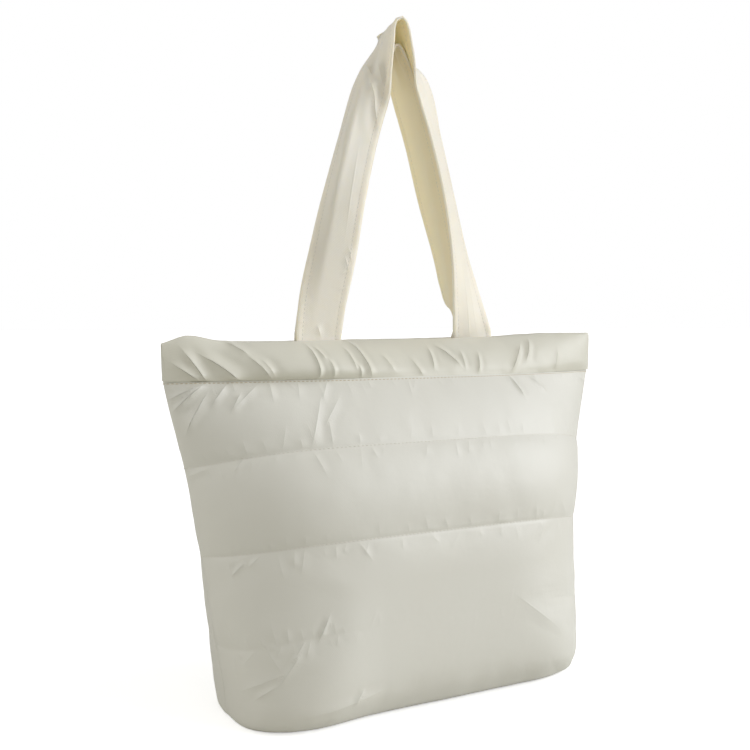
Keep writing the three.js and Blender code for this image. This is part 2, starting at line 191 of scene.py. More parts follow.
# Random creases along a wall's seams, deeper and closer together toward the left
PUCKER_LEFT_FROM = -60
PUCKER_LEFT_SPAN = 100
PUCKER_DENSITY = (0.8, 0.45, 0.45, 0.1)
PUCKER_SEED = 10
PUCKER_START = (4, 12)
PUCKER_END = 4
PUCKER_REACH = (7, 24)
PUCKER_REACH_SHARE = (0.6, 1)
PUCKER_LEAN = 0.35
PUCKER_DEPTH = (0.12, 0.6)
PUCKER_WIDTH = (1.7, 3.4)
PUCKER_STEP = 8
PUCKER_STEP_MOST = 34
PUCKER_STEP_MOST_LEFT = 18

# Hems of the straps, and the random creases across them
HEM_WIDTH = 5.0
HEM_GROOVE = 0.25
HEM_GROOVE_SPAN = 0.9
HEM_STEP = 0.3
HEM_STEP_SPAN = 0.5
STITCH_SINK = 0.1
HEM_PUCKER_START = (35, 50)
HEM_PUCKER_END = 35
HEM_PUCKER_REACH = (5, 11)
HEM_PUCKER_DRIFT = 4
HEM_PUCKER_WIDTH = (1.6, 2.6)
HEM_PUCKER_DEPTH = (0.08, 0.3)
HEM_PUCKER_STEP = (9, 30)

# Places of a colour mix node's sockets, which share their names with its other kinds of mix
MIX_FACTOR = 0
MIX_FIRST = 6
MIX_SECOND = 7
MIX_RESULT = 2

# Looks of cloth and thread, with lengths in metres
Look = namedtuple("Look", "rough weave_pitch weave_height crinkle through")
NYLON_LOOK = Look(0.42, 0.0007, 0.00012, 0.0002, 0.0)
STRAP_LOOK = Look(0.5, 0.0009, 0.00012, 0.0002, 0.5)
DRIFT_SCALE = 9.0
DRIFT_DETAIL = 2.0
DRIFT_CONTRAST = 1.6
CRINKLE_SCALE = 85.0
CRINKLE_DETAIL = 4.0
CRINKLE_ROUGH = 0.6
ROUGH_SPREAD = 0.16
WEAVE_STRENGTH = 0.25
# Width in metres of a strap's under face in its cloth coordinates, tinted tan as painted shade and painted
# light through the cloth
PAINTED_SHADE_WIDTH = 0.0435
STRAND_SCALE = 1400.0
STRAND_DETAIL = 2.0
STRAND_HEIGHT = 0.0002
STRAND_DARK = 0.8
STRAND_ROUGH = 0.55
STRAND_ROUGH_SPREAD = 0.2

# Studio: a floor that looks white and gives back warm light, and lights with turns in degrees
WHITE = (1, 1, 1)
FLOOR_HALF = 40.0
FLOOR_COLOUR = (0.95, 0.95, 0.95, 1)
FLOOR_GLOW = 0.52
FLOOR_BOUNCE = (0.71, 0.70, 0.645, 1)
SURROUND_COLOUR = (1.0, 0.985, 0.94)
KEY_COLOUR = (0.98, 1.0, 1.06)
Lamp = namedtuple("Lamp", "name setting colour heading climb spread")
LAMPS = (
    Lamp("key_light", "key", KEY_COLOUR, 55, 18, 50),
    Lamp("left_light", "left", WHITE, -105, 15, 60),
    Lamp("top_light", "top", WHITE, 20, 78, 40),
)

# Plan of the body by height: half width, half depth, and the two powers of its lens shape
Section = namedtuple("Section", "height half_width half_depth side_power corner_power")
BODY_SECTIONS = (
    Section(0, 183, 65, 9.2, 0.4),
    Section(27, 185.5, 79.5, 8.6, 0.48),
    Section(118, 197, 89.5, 4.8, 0.7),
    Section(219, 215, 89.5, 3.6, 0.85),
    Section(303, 235, 42, 2.4, 0.9),
    Section(340, 236, 24, 2.3, 0.9),
)

# Seams across a wall from the band down, how firmly each holds the cloth in at mid bag, and the cloth
# rows of the channel under it
Seam = namedtuple("Seam", "middle droop hold rows")
SEAMS = (
    Seam(BAND_SEAM_HEIGHT - HALF_GAP, 0, 1, 20),
    Seam(247, 20, 1, 28),
    Seam(168.5, 20, 1, 28),
    Seam(92, 24, 0.06, 36),
)

# Creases of the front wall: run along the cloth from the middle, and height, of both ends
Crease = namedtuple("Crease", "along height to_along to_height width depth")
FRONT_CREASES = (
    Crease(-206, 300, -240, 287, 2.2, 2.0),
    Crease(-203, 302, -236, 278, 2.6, 2.2),
    Crease(-205, 292, -229, 258, 3.0, 1.8),
    Crease(-188, 299, -203, 281, 2.6, 1.4),
    Crease(-177, 291, -187, 276, 2.4, 1.2),
    Crease(-162, 298, -184, 278, 2.48, 0.88),
    Crease(-185, 238, -194, 228, 1.86, 1.12),
    Crease(-216, 230, -246, 219, 1.86, 1.2),
    Crease(-108, 287, -126, 248, 2.48, 0.56),
    Crease(-91, 286, -112, 262, 2.48, 0.48),
    Crease(102, 302, 112, 278, 1.86, 1.2),
    Crease(129, 300, 146, 283, 2.17, 0.88),
    Crease(211, 298, 237, 289, 2.17, 0.88),
    Crease(-188, 147, -178, 156, 1.7, 1.2),
    Crease(-204, 138, -192, 150, 1.86, 1.12),
    Crease(-202, 150, -188, 156, 1.7, 1.12),
    Crease(-131, 84, -121, 106, 1.86, 1.04),
    Crease(-154, 66, -142, 84, 1.86, 0.88),
    Crease(-185, 32, -166, 46, 1.86, 0.88),
    Crease(-167, 42, -144, 77, 1.86, 0.88),
    Crease(-100, 24, -91, 37, 2.17, 0.72),
    Crease(74, 98, 122, 62, 4.2, 0.45),
    Crease(84, 74, 138, 44, 5.0, -0.35),
    Crease(-202, 36, -150, 62, 3.0, 0.6),
    Crease(-143, 20, -69, 31, 3.1, 0.72),
)

# Creases of the front band, by place along the mouth and height
BAND_CREASES = (
    Crease(-229, 319, -203, 301, 2.8, 2.0),
    Crease(-220, 330, -200, 301, 3.0, 2.2),
    Crease(-206, 326, -168, 300, 3.6, 2.2),
    Crease(-182, 336, -165, 324, 3.0, 1.6),
    Crease(-168, 325, -147, 304, 3.2, 1.4),
    Crease(-157, 322, -145, 306, 2.48, 0.8),
    Crease(-110, 333, -105, 302, 1.86, 1.6),
    Crease(-104, 331, -98, 320, 1.7, 0.96),
    Crease(-95, 320, -91, 304, 1.86, 1.04),
    Crease(-75, 330, -69, 311, 1.86, 1.12),
    Crease(-67, 316, -63, 303, 1.7, 0.96),
    Crease(-66, 338, -53, 305, 2.48, 1.6),
    Crease(-38, 323, -29, 309, 2.48, 0.72),
    Crease(-7, 319, 2, 303, 2.48, 0.72),
    Crease(17, 329, 15, 310, 1.98, 1.12),
    Crease(27, 330, 47, 311, 2.48, 1.6),
    Crease(52, 326, 51, 309, 1.86, 0.8),
    Crease(72, 324, 65, 305, 1.86, 1.12),
    Crease(130, 331, 107, 306, 2.23, 1.44),
    Crease(145, 337, 131, 316, 2.48, 1.28),
    Crease(178, 326, 170, 305, 3.1, 0.64),
)

# Routes of the raised straps from left foot to right foot, measured from the rim.
# turn is how far the ribbon's inner edge has swung forward, in degrees; fold and curl bend its outer
# and inner thirds further; width is the share of the full width left where the cloth is gathered.
Route = namedtuple("Route", "across depth rise turn fold curl width")
FRONT_ROUTE = (
    Route(-88.5, -4.2, 0, 0, 0, 0, 1),
    Route(-85, -4.6, 27, 2, 10, 0, 1),
    Route(-74.5, -6, 78, 4, 42, 0, 1),
    Route(-64.5, -8, 135, 2, 74, 0, 1),
    Route(-51, -9, 191, -4, 94, 0, 1),
    Route(-41, -8, 222, 10, 76, 0, 0.92),
    Route(-29.5, -3, 251, 56, 30, 0, 0.84),
    Route(-15.5, 0, 279, 97, 0, 0, 0.95),
    Route(-10.5, 0, 293, 100, 0, 0, 1),
    Route(0, 0, 275, 90, 0, 0, 0.98),
    Route(23, -1, 245, 41, 0, 0, 0.95),
    Route(40, -3, 191, 45, 0, 0, 1),
    Route(55, -4, 135, 45, 0, 0, 1),
    Route(67, -5, 78, 37, 0, 0, 1),
    Route(77.5, -4.6, 27, 16, 0, 0, 1),
    Route(83, -3.8, 0, 0, 0, 0, 1),
)
BACK_ROUTE = (
    Route(-86, 4.2, 0, 0, 0, 0, 1),
    Route(-81.6, 2.3, 27, 2, 10, 0, 1),
    Route(-71.3, -1, 78, 4, 42, 0, 1),
    Route(-61.3, -3, 135, 2, 74, 0, 1),
    Route(-47, -3.5, 191, -4, 94, 0, 1),
    Route(-36.8, -2, 222, 10, 76, 0, 0.92),
    Route(-27, 2.5, 244, 52, 34, 0, 0.84),
    Route(-17, 3.5, 261, 82, 0, 0, 0.7),
    Route(-7.5, 4, 274, 90, 0, 0, 0.62),
    Route(4, 9.5, 260, 91, 0, 0, 0.8),
    Route(15, 17, 240, 91, 0, 0, 1),
    Route(32, 19, 191, 89, 0, 12, 1),
    Route(48, 21, 135, 86, 0, 22, 1),
    Route(61.5, 18, 78, 78, 0, 22, 1),
    Route(66.5, 18, 50, 72, 0, 16, 1),
    Route(71, 16.5, 27, 62, 0, 14, 1),
    Route(78, 11, 12, 34, 0, 10, 1),
    Route(83, 3.8, 0, 0, 0, 0, 1),
)
FOOT_LEVELS = np.linspace(310, 335, 9)
FOOT_CLEARANCE = 2.5
CURVE_STEPS = 60
STRAP_STEP = 2.5
STRAP_FACE_POINTS = 25
STRAP_EDGE_POINTS = 3
STRAP_HALF_WIDTH = 22.5
STRAP_FOLD_AT = -0.33
STRAP_CURL_AT = 0.35
STRAP_BEND_SPAN = 0.3
BEND_STEPS_PER_POINT = 6
PLEATS = 2.5
PLEAT_WANDER = 11
STRAP_EDGE_ROUND = 0.6

# Creases of the front strap, by place across it and run along it from the left foot
STRAP_CREASES = (
    Crease(-4, 292, 19, 246, 3, 1.3),
    Crease(-12, 300, 2, 288, 2.5, 1.0),
    Crease(4, 305, 16, 280, 2.5, 0.8),
    Crease(-10, 250, -6, 160, 5, 0.7),
    Crease(6, 215, 9, 140, 6, 0.6),
    Crease(14, 125, 20, 112, 2.2, 0.7),
    Crease(12, 116, 18, 105, 2.0, 0.6),
    Crease(-3, 48, 2, 38, 2.2, 0.7),
    Crease(0, 560, 4, 660, 6, 0.7),
    Crease(-10, 520, -6, 650, 5, 0.6),
)


def between(start, end, share):
    """Value at a share of the way from start to end."""
    return start + (end - start) * share


def table_value(rows, key, column, at):
    """Smooth values of a table's column, read by another of its columns."""
    keys = np.array([getattr(row, key) for row in rows], float)
    values = np.array([getattr(row, column) for row in rows], float)
    slopes = np.empty_like(values)
    slopes[1:-1] = (values[2:] - values[:-2]) / (keys[2:] - keys[:-2])
    slopes[0] = (values[1] - values[0]) / (keys[1] - keys[0])
    slopes[-1] = (values[-1] - values[-2]) / (keys[-1] - keys[-2])
    at = np.clip(at, keys[0], keys[-1])
    i = np.clip(np.searchsorted(keys, at, side="right") - 1, 0, len(keys) - 2)
    span = keys[i + 1] - keys[i]
    t = (at - keys[i]) / span
    rise = values[i + 1] - values[i]
    start_bend = slopes[i] * span - rise
    end_bend = rise - slopes[i + 1] * span
    return values[i] + t * rise + t * (1 - t) * ((1 - t) * start_bend + t * end_bend)


def ease(share):
    """A smooth step from 0 to 1."""
    share = np.clip(share, 0, 1)
    return share * share * (3 - 2 * share)


def leaned(points):
    """Points as the body leans: the cloth above the foot hangs a little to the left of the base."""
    moved = np.array(points, float)
    moved[:, 0] -= BODY_LEAN * ease((moved[:, 2] - LEAN_FROM) / (LEAN_TO - LEAN_FROM))
    return moved


def lens(share, side_power, corner_power):
    """Depth of a plan section at a share of its half width."""
    return np.maximum(0, 1 - np.abs(share) ** side_power) ** corner_power


def section_at(height):
    """The body's plan section at a height."""
    names = Section._fields[1:]
    return Section(height, *(table_value(BODY_SECTIONS, "height", name, height) for name in names))


def sewn_points(turn, height, inset):
    """Points of the sewn front wall, drawn in where the base edge rounds under."""
    share = np.sin(turn * np.pi / 2)
    _, half_width, half_depth, side_power, corner_power = section_at(height)
    depth = (half_depth - inset) * lens(share, side_power, corner_power)
    return np.stack((share * (half_width - inset), -np.maximum(HALF_GAP, depth), height), axis=-1)


def row_place(channel, through, share):
    """Height and inset of a wall row, from its channel and how far down the channel it lies."""
    droop = np.abs(share) ** SEAM_DROOP_POWER
    seam = SEAMS[channel]
    top = seam.middle - seam.droop * droop
    if channel + 1 < len(SEAMS):
        below = SEAMS[channel + 1]
        bottom = below.middle - below.droop * droop
        return between(top, bottom, through), np.zeros_like(share)
    if through <= LAST_CHANNEL_STRAIGHT:
        return between(top, BASE_ROUND_HEIGHT, through / LAST_CHANNEL_STRAIGHT), np.zeros_like(share)
    angle = (through - LAST_CHANNEL_STRAIGHT) / (1 - LAST_CHANNEL_STRAIGHT) * np.pi / 2
    height = np.full_like(share, BASE_ROUND_HEIGHT * (1 - np.sin(angle) ** BASE_ROUND_POWER))
    return height, np.full_like(share, BASE_ROUND_INSET * (1 - max(0, np.cos(angle)) ** BASE_ROUND_POWER))


def row_fill(channel, through, share):
    """How full a wall row is, drawn in toward the seams above and below it."""
    near = channel if through < 0.5 else channel + 1
    middle = SEAMS[near].hold if near < len(SEAMS) else 1
    hold = np.maximum(middle, between(middle, SEAM_END_HOLD, np.abs(share) ** SEAM_END_POWER))
    return 1 - (1 - max(0, np.sin(np.pi * through)) ** PUFF_ROUNDNESS) * hold


def run_lengths(points, axis):
    """Lengths run along one axis of a grid of points."""
    steps = np.linalg.norm(np.diff(points, axis=axis), axis=-1)
    start = np.zeros_like(np.take(steps, [0], axis=axis))
    return np.concatenate((start, np.cumsum(steps, axis=axis)), axis=axis)


def outward(points):
    """Unit normals of a grid whose rows run down and whose columns run across."""
    normal = np.cross(np.gradient(points, axis=0), np.gradient(points, axis=1))
    return normal / np.maximum(np.linalg.norm(normal, axis=-1, keepdims=True), 1e-9)


def sewn_wall():
    """Even grid of the sewn front wall: points, turn round the wall, fill, and which rows are seams."""
    dense = np.linspace(-1, 1, DENSE_STEPS)
    share = np.sin(dense * np.pi / 2)
    places = [(c, i / seam.rows) for c, seam in enumerate(SEAMS) for i in range(seam.rows)]
    places.append((len(SEAMS) - 1, 1.0))
    turns = []
    points = []
    fills = []
    for channel, through in places:
        line = sewn_points(dense, *row_place(channel, through, share))
        length = run_lengths(line, 0)
        turn = np.interp(np.linspace(0, length[-1], WALL_COLUMNS + 1), length, dense)
        turns.append(turn)
        points.append(sewn_points(turn, *row_place(channel, through, np.sin(turn * np.pi / 2))))
        fills.append(row_fill(channel, through, np.sin(turn * np.pi / 2)))
    fill = np.array(fills) * (1 - np.abs(turns) ** SIDE_PINCH_POWER)
    return np.array(points), np.array(turns), fill, np.array([through == 0 for _, through in places])


def wall_normals(points):
    """Outward directions of the sewn wall, sideways at its ends and down under the base."""
    normal = outward(points)
    normal[:, 0] = (-1, 0, 0)
    normal[:, -1] = (1, 0, 0)
    normal[-1] = (0, 0, -1)
    return normal


def grid_faces(rows, columns):
    """Quads of a grid, facing outward."""
    index = np.arange(rows * columns).reshape(rows, columns)
    quads = np.stack((index[:-1, :-1], index[1:, :-1], index[1:, 1:], index[:-1, 1:]), axis=-1)
    return quads.reshape(-1, 4).tolist()


def blurred(field, spread):
    """A field over a grid, blurred by a spread in grid steps along its first axes."""
    for axis, steps in enumerate(spread):
        reach = int(BLUR_REACH * steps) + 1
        kernel = np.exp(-0.5 * (np.arange(-reach, reach + 1) / steps) ** 2)
        kernel /= kernel.sum()
        margins = [(reach, reach) if n == axis else (0, 0) for n in range(field.ndim)]
        padded = np.pad(field, margins, "reflect")
        field = np.apply_along_axis(np.convolve, axis, padded, kernel, "valid")
    return field


def smooth_noise(shape, spread, seed):
    """Seeded noise over a grid, blurred by a spread in grid steps and scaled to unit height."""
    field = blurred(np.random.default_rng(seed).standard_normal(shape), spread)
    return field / field.std()


def gentle(move, held, limit):
    """Moves of settled cloth with small lumps smoothed out and long moves eased to a limit."""
    smooth = between(move, blurred(move, (SETTLE_BLUR, SETTLE_BLUR)), (held < 1)[..., None] * SETTLE_SMOOTH)
    far = np.maximum(np.linalg.norm(smooth, axis=-1, keepdims=True), 1e-9)
    return smooth * (limit * np.tanh(far / limit) / far)


def settle_cloth(context, start, cut, held, pressure, frames):
    """Lets a grid of cloth that was cut larger than its place rest against its filling."""
    rows, columns = start.shape[:2]
    mesh = bpy.data.meshes.new("settling_cloth")
    mesh.from_pydata((start * MM).reshape(-1, 3).tolist(), [], grid_faces(rows, columns))
    cloth_object = bpy.data.objects.new("settling_cloth", mesh)
    context.scene.collection.objects.link(cloth_object)
    cloth_object.shape_key_add(name="Sewn", from_mix=False)
    pattern = cloth_object.shape_key_add(name="Cut", from_mix=False)
    pattern.data.foreach_set("co", (cut * MM).ravel())
    pins = cloth_object.vertex_groups.new(name="Held")
    flat_held = held.ravel()
    for weight in np.unique(flat_held[flat_held > 0]):
        pins.add(np.flatnonzero(flat_held == weight).tolist(), float(weight), "REPLACE")
    modifier = cloth_object.modifiers.new("Settle", "CLOTH")
    cloth = modifier.settings
    for name, value in CLOTH_SETTINGS.items():
        setattr(cloth, name, value)
    cloth.vertex_group_mass = pins.name
    cloth.rest_shape_key = pattern
    cloth.use_pressure = True
    cloth.uniform_pressure_force = pressure
    cloth.effector_weights.gravity = 0
    modifier.collision_settings.use_collision = False
    modifier.point_cache.frame_start = 1
    modifier.point_cache.frame_end = frames
    for number in range(1, frames + 1):
        context.scene.frame_set(number)
    settled = cloth_object.evaluated_get(context.evaluated_depsgraph_get()).to_mesh()
    points = np.empty(rows * columns * 3, np.float32)
    settled.vertices.foreach_get("co", points)
    bpy.data.objects.remove(cloth_object)
    bpy.data.meshes.remove(mesh)
    context.scene.frame_set(1)
    return points.reshape(rows, columns, 3).astype(float) / MM


def finer_lines(grid, axis):
    """A grid with twice the steps along one axis, on smooth curves through its points."""
    lines = np.moveaxis(grid, axis, 0)
    ends = np.concatenate((2 * lines[:1] - lines[1:2], lines, 2 * lines[-1:] - lines[-2:-1]))
    fine = np.empty((2 * len(lines) - 1, *lines.shape[1:]))
    fine[::2] = lines
    fine[1::2] = (9 * (ends[1:-2] + ends[2:-1]) - ends[:-3] - ends[3:]) / 16
    return np.moveaxis(fine, 0, axis)


def finer_channels(grid):
    """A wall grid with twice the steps, kept sharp at each seam."""
    pieces = []
    first = 0
    for seam in SEAMS:
        piece = finer_lines(grid[first:first + seam.rows + 1], 0)
        pieces.append(piece if not pieces else piece[1:])
        first += seam.rows
    return finer_lines(np.concatenate(pieces), 1)


def off_crease(crease, along, height):
    """How far points lie along a crease, as a share of it, and how far off to its side."""
    run_along = crease.to_along - crease.along
    run_height = crease.to_height - crease.height
    length = math.hypot(run_along, run_height)
    off_along = along - crease.along
    off_height = height - crease.height
    share = (off_along * run_along + off_height * run_height) / length ** 2
    return share, (off_height * run_along - off_along * run_height) / length


def crease_fade(share):
    """Strength of a crease along its length, fading out at both ends."""
    return np.exp(-(np.maximum(0, np.abs(2 * share - 1) - FADE_FROM) / FADE_SPAN) ** 2)


def crease_push(along, height, creases):
    """Outward push of creases on a cloth face: a sharp crest with a soft valley beside it."""
    push = np.zeros_like(along)
    for crease in creases:
        share, off = off_crease(crease, along, height)
        off = off / crease.width
        near = (np.abs(off) < CREASE_REACH) & (np.abs(share - 0.5) < CREASE_RUN_REACH)
        crest = np.exp(CREST_SOFT - np.hypot(off[near], CREST_SOFT))
        shape = crest - VALLEY_SHARE * np.exp(-((off[near] - VALLEY_OFF) / VALLEY_SPAN) ** 2)
        push[near] += CREASE_DEPTH * crease.depth * crease_fade(share[near]) * shape
    return push


def crease_lines(along, height, creases, rise=1.0):
    """Fine lines on crests, in two sets: distance off the strongest line near, and its height."""
    lines = np.zeros((*along.shape, 4))
    for n, crease in enumerate(creases):
        share, off = off_crease(crease, along, height)
        window = np.maximum(0, 1 - (off / LINE_REACH) ** 2) ** 2
        strength = LINE_SHARE * crease.depth * crease_fade(share) * window
        spot = 2 * (n % 2)
        near = strength > lines[..., spot + 1]
        lines[near, spot] = off[near]
        lines[near, spot + 1] = strength[near]
    lines[..., 1::2] *= np.asarray(rise)[..., None]
    return lines


def seam_puckers(along, height, seed, density):
    """Short random creases that leave one seam upward and downward, more of them toward its left end."""
    chance = np.random.default_rng(seed)
    creases = []
    for way in (-1, 1):
        at = along[0] + chance.uniform(*PUCKER_START)
        while at < along[-1] - PUCKER_END:
            start = np.interp(at, along, height)
            reach = chance.uniform(*PUCKER_REACH) * chance.uniform(*PUCKER_REACH_SHARE)
            lean = chance.normal(0, PUCKER_LEAN)
            left = ease((PUCKER_LEFT_FROM - at) / PUCKER_LEFT_SPAN)
            depth = chance.uniform(*PUCKER_DEPTH) * between(density, 1, left)
            width = chance.uniform(*PUCKER_WIDTH)
            creases.append(Crease(at, start + way, at + lean * reach, start + way * reach, width, depth))
            at += chance.uniform(PUCKER_STEP, between(PUCKER_STEP_MOST, PUCKER_STEP_MOST_LEFT, left))
    return creases


def closed_shell(name, outer, inner, cloth_place, lines):
    """A closed mesh between a fine outer grid and a coarser inner one, with its cloth coordinates."""
    rows, columns = outer.shape[:2]
    inner_rows, inner_columns = inner.shape[:2]
    step = (rows - 1) // (inner_rows - 1)
    index = np.arange(rows * columns).reshape(rows, columns)
    lining = rows * columns + np.arange(inner_rows * inner_columns).reshape(inner_rows, inner_columns)
    faces = grid_faces(rows, columns)
    faces += [[rows * columns + i for i in reversed(quad)] for quad in grid_faces(inner_rows, inner_columns)]

    def border(ids):
        return [*ids[0, :-1], *ids[:-1, -1], *ids[-1, :0:-1], *ids[:0:-1, 0]]

    edge = border(index)
    lining_edge = border(lining)
    for k, near in enumerate(lining_edge):
        far = lining_edge[(k + 1) % len(lining_edge)]
        run = [edge[(k * step + i) % len(edge)] for i in range(step + 1)]
        half = step // 2
        faces += [(run[i], run[i + 1], near) for i in range(half)]
        faces.append((run[half], far, near))
        faces += [(run[i], run[i + 1], far) for i in range(half, step)]
    points = np.concatenate((outer.reshape(-1, 3), inner.reshape(-1, 3)))
    place = np.concatenate((cloth_place.reshape(-1, 2), cloth_place[::step, ::step].reshape(-1, 2)))
    return cloth_mesh(name, points, [[int(i) for i in face] for face in faces], place, lines)


def cloth_mesh(name, points, faces, place, lines=None):
    """A smooth mesh in metres with cloth coordinates as its UV map, and crease lines on its first points."""
    mesh = bpy.data.meshes.new(name)
    mesh.from_pydata((leaned(points) * MM).tolist(), [], faces)
    corner = np.empty(len(mesh.loops), np.int32)
    mesh.loops.foreach_get("vertex_index", corner)
    uv = mesh.uv_layers.new(name="Cloth")
    uv.data.foreach_set("uv", (place[corner] * MM).astype(np.float32).ravel())
    if lines is not None:
        lines = lines.reshape(-1, 4)
        for n, label in enumerate(LINE_SETS):
            values = np.zeros((len(points), 3), np.float32)
            values[:len(lines), :2] = lines[:, 2 * n:2 * n + 2]
            attribute = mesh.attributes.new(label, "FLOAT_VECTOR", "POINT")
            attribute.data.foreach_set("vector", values.ravel())
    mesh.shade_smooth()
    mesh.set_sharp_from_angle(angle=math.radians(SHARP_ANGLE))
    mesh.validate()
    mesh.update()
    return mesh


def add_piece(context, name, mesh, material, slot, *nodes):
    """Shows a finished mesh, riding on the bag and standing for its CAD nodes."""
    mesh.materials.append(material)
    piece = bpy.data.objects.new(name, mesh)
    context.scene.collection.objects.link(piece)
    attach(piece, "root")
    if nodes:
        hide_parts(*nodes)
    return piece


def wall_shape(context, seed, creases):
    """Outer face, lining, cloth coordinates, seam rows and crease lines of one front-facing wall."""
    sizes = context.scene.tote_sizes
    sewn, turn, fill, seam_row = sewn_wall()
    normal = wall_normals(sewn)
    held = np.zeros(fill.shape)
    held[:, [0, -1]] = 1
    held[seam_row] = fill[seam_row] < SEAM_HELD_FILL
    held[-1] = 1
    left = ease((-np.sin(turn * np.pi / 2) - LEFT_PUFF_FROM) / LEFT_PUFF_SPAN)
    swell = between(sizes.puff, sizes.left_puff, left) / MM * fill
    target = sewn + normal * swell[..., None]
    settled = target
    ruck = smooth_noise(fill.shape, WALL_RUCK_SPREAD, seed) * sizes.ruck / MM * (held == 0)
    start = sewn + normal * (WALL_START_SWELL * swell + ruck)[..., None]
    cut = target.copy()
    cut[..., 0] *= 1 + sizes.slack_along
    cut[..., 2] *= 1 + sizes.slack_down
    settled = settle_cloth(context, start, cut, held, sizes.pressure, sizes.frames)
    settled = target + gentle(settled - target, held, sizes.most_move / MM)
    sewn, settled = finer_channels(sewn), finer_channels(settled)
    fill = finer_channels(fill[..., None])[..., 0].clip(0)
    along = run_lengths(sewn, 1)
    along -= along[:, along.shape[1] // 2, None]
    down = run_lengths(sewn, 0)
    seam_rows = np.cumsum([0] + [2 * seam.rows for seam in SEAMS])
    creases = list(creases)
    for n, row in enumerate(seam_rows[:-1]):
        creases += seam_puckers(along[row], sewn[row, :, 2], seed + PUCKER_SEED + n, PUCKER_DENSITY[n])
    normal = wall_normals(settled)
    rise = np.minimum(1, fill / WALL_CREASE_FILL)
    outer = settled + normal * (crease_push(along, sewn[..., 2], creases) * rise)[..., None]
    lining_depth = WALL_AT_SEAM + LINING_SWELL * fill
    inner = (sewn - wall_normals(sewn) * lining_depth[..., None])[::LINING_STEP, ::LINING_STEP]
    for face in (outer, inner):
        face[..., 1] = np.minimum(face[..., 1], -HALF_GAP)
        face[..., 2] = np.maximum(face[..., 2], FLOOR_CLEARANCE)
    place = np.stack((along, -down), axis=-1)
    outer[0, :, 2] += SEAM_TUCK
    inner[0, :, 2] += SEAM_TUCK
    lines = crease_lines(along, sewn[..., 2], creases, rise)
    return outer, inner, place, seam_rows, lines


def band_fullness(up):
    """How full the band's roll is at a share of its height, fullest below the middle."""
    roundness = between(BAND_LOW_ROUNDNESS, BAND_ROUNDNESS, np.minimum(1, 2 * up))
    return np.maximum(0, 1 - np.abs(2 * up ** BAND_LOW_POWER - 1) ** BAND_PINCH_POWER) ** roundness


def band_roll(share, up):
    """Across, height, inner depth, middle depth and half thickness of the front band's padded roll."""
    _, half_width, half_depth, side_power, corner_power = section_at(BAND_SEAM_HEIGHT)
    mouth = between(half_depth - WALL_AT_SEAM, RIM_HALF_MOUTH, up)
    inner = HALF_GAP + mouth * lens(share, side_power, corner_power)
    x = share * between(half_width, RIM_HALF_WIDTH, up)
    ends = 1 - np.abs(share) ** np.where(share < 0, BAND_LEFT_POWER, BAND_END_POWER)
    roll = band_fullness(up)
    belly = BELLY_DEPTH * np.exp(-((x - BELLY_ALONG) / BELLY_WIDTH) ** 2) * roll * ends / 2
    swell = (BAND_THICKNESS - WALL_AT_SEAM) / 2
    half = WALL_AT_SEAM / 2 * np.sqrt(np.maximum(0, 1 - up ** BAND_RIM_POWER)) + swell * roll * ends + belly
    middle = inner + WALL_AT_SEAM / 2 + BAND_LEAN * (1 - (1 - up) ** BAND_LEAN_POWER) * ends + belly
    drop = RIM_END_DROP * ease((-share - RIM_DROP_FROM) / (1 - RIM_DROP_FROM))
    hump = sum(rise * np.exp(-((share - at) / width) ** 2) for at, width, rise in RIM_HUMPS)
    top = RIM_HEIGHT - RIM_SAG * (1 - share ** RIM_SAG_POWER) + RIM_TILT * share + hump - drop
    height = between(BAND_SEAM_HEIGHT + HALF_GAP, top, up)
    return x, height, inner, middle, half


def band_grid():
    """Even grid of the front band from its inner lower edge over the rim to its outer lower edge."""
    climb = np.sin(np.linspace(0, np.pi / 2, BAND_CLIMB_STEPS))
    ups = np.concatenate((climb, climb[-2::-1]))
    side = np.concatenate((-np.ones(BAND_CLIMB_STEPS), np.ones(BAND_CLIMB_STEPS - 1)))
    half_way = BAND_AROUND // 2
    faces = ((slice(0, BAND_CLIMB_STEPS), 0), (slice(BAND_CLIMB_STEPS - 1, None), half_way))
    rows = np.empty((BAND_AROUND + 1, BAND_COLUMNS + 1, 3))
    level = np.empty((BAND_AROUND + 1, BAND_COLUMNS + 1))
    for column, share in enumerate(np.linspace(-1, 1, BAND_COLUMNS + 1)):
        x, height, _, middle, half = band_roll(share, ups)
        path = np.stack((x, -np.maximum(HALF_GAP, middle + side * half), height), axis=-1)
        for part, first in faces:
            length = run_lengths(path[part], 0)
            even = np.linspace(0, length[-1], half_way + 1)
            filled = slice(first, first + half_way + 1)
            for axis in range(3):
                rows[filled, column, axis] = np.interp(even, length, path[part][:, axis])
            level[filled, column] = np.interp(even, length, ups[part])
    return rows, level


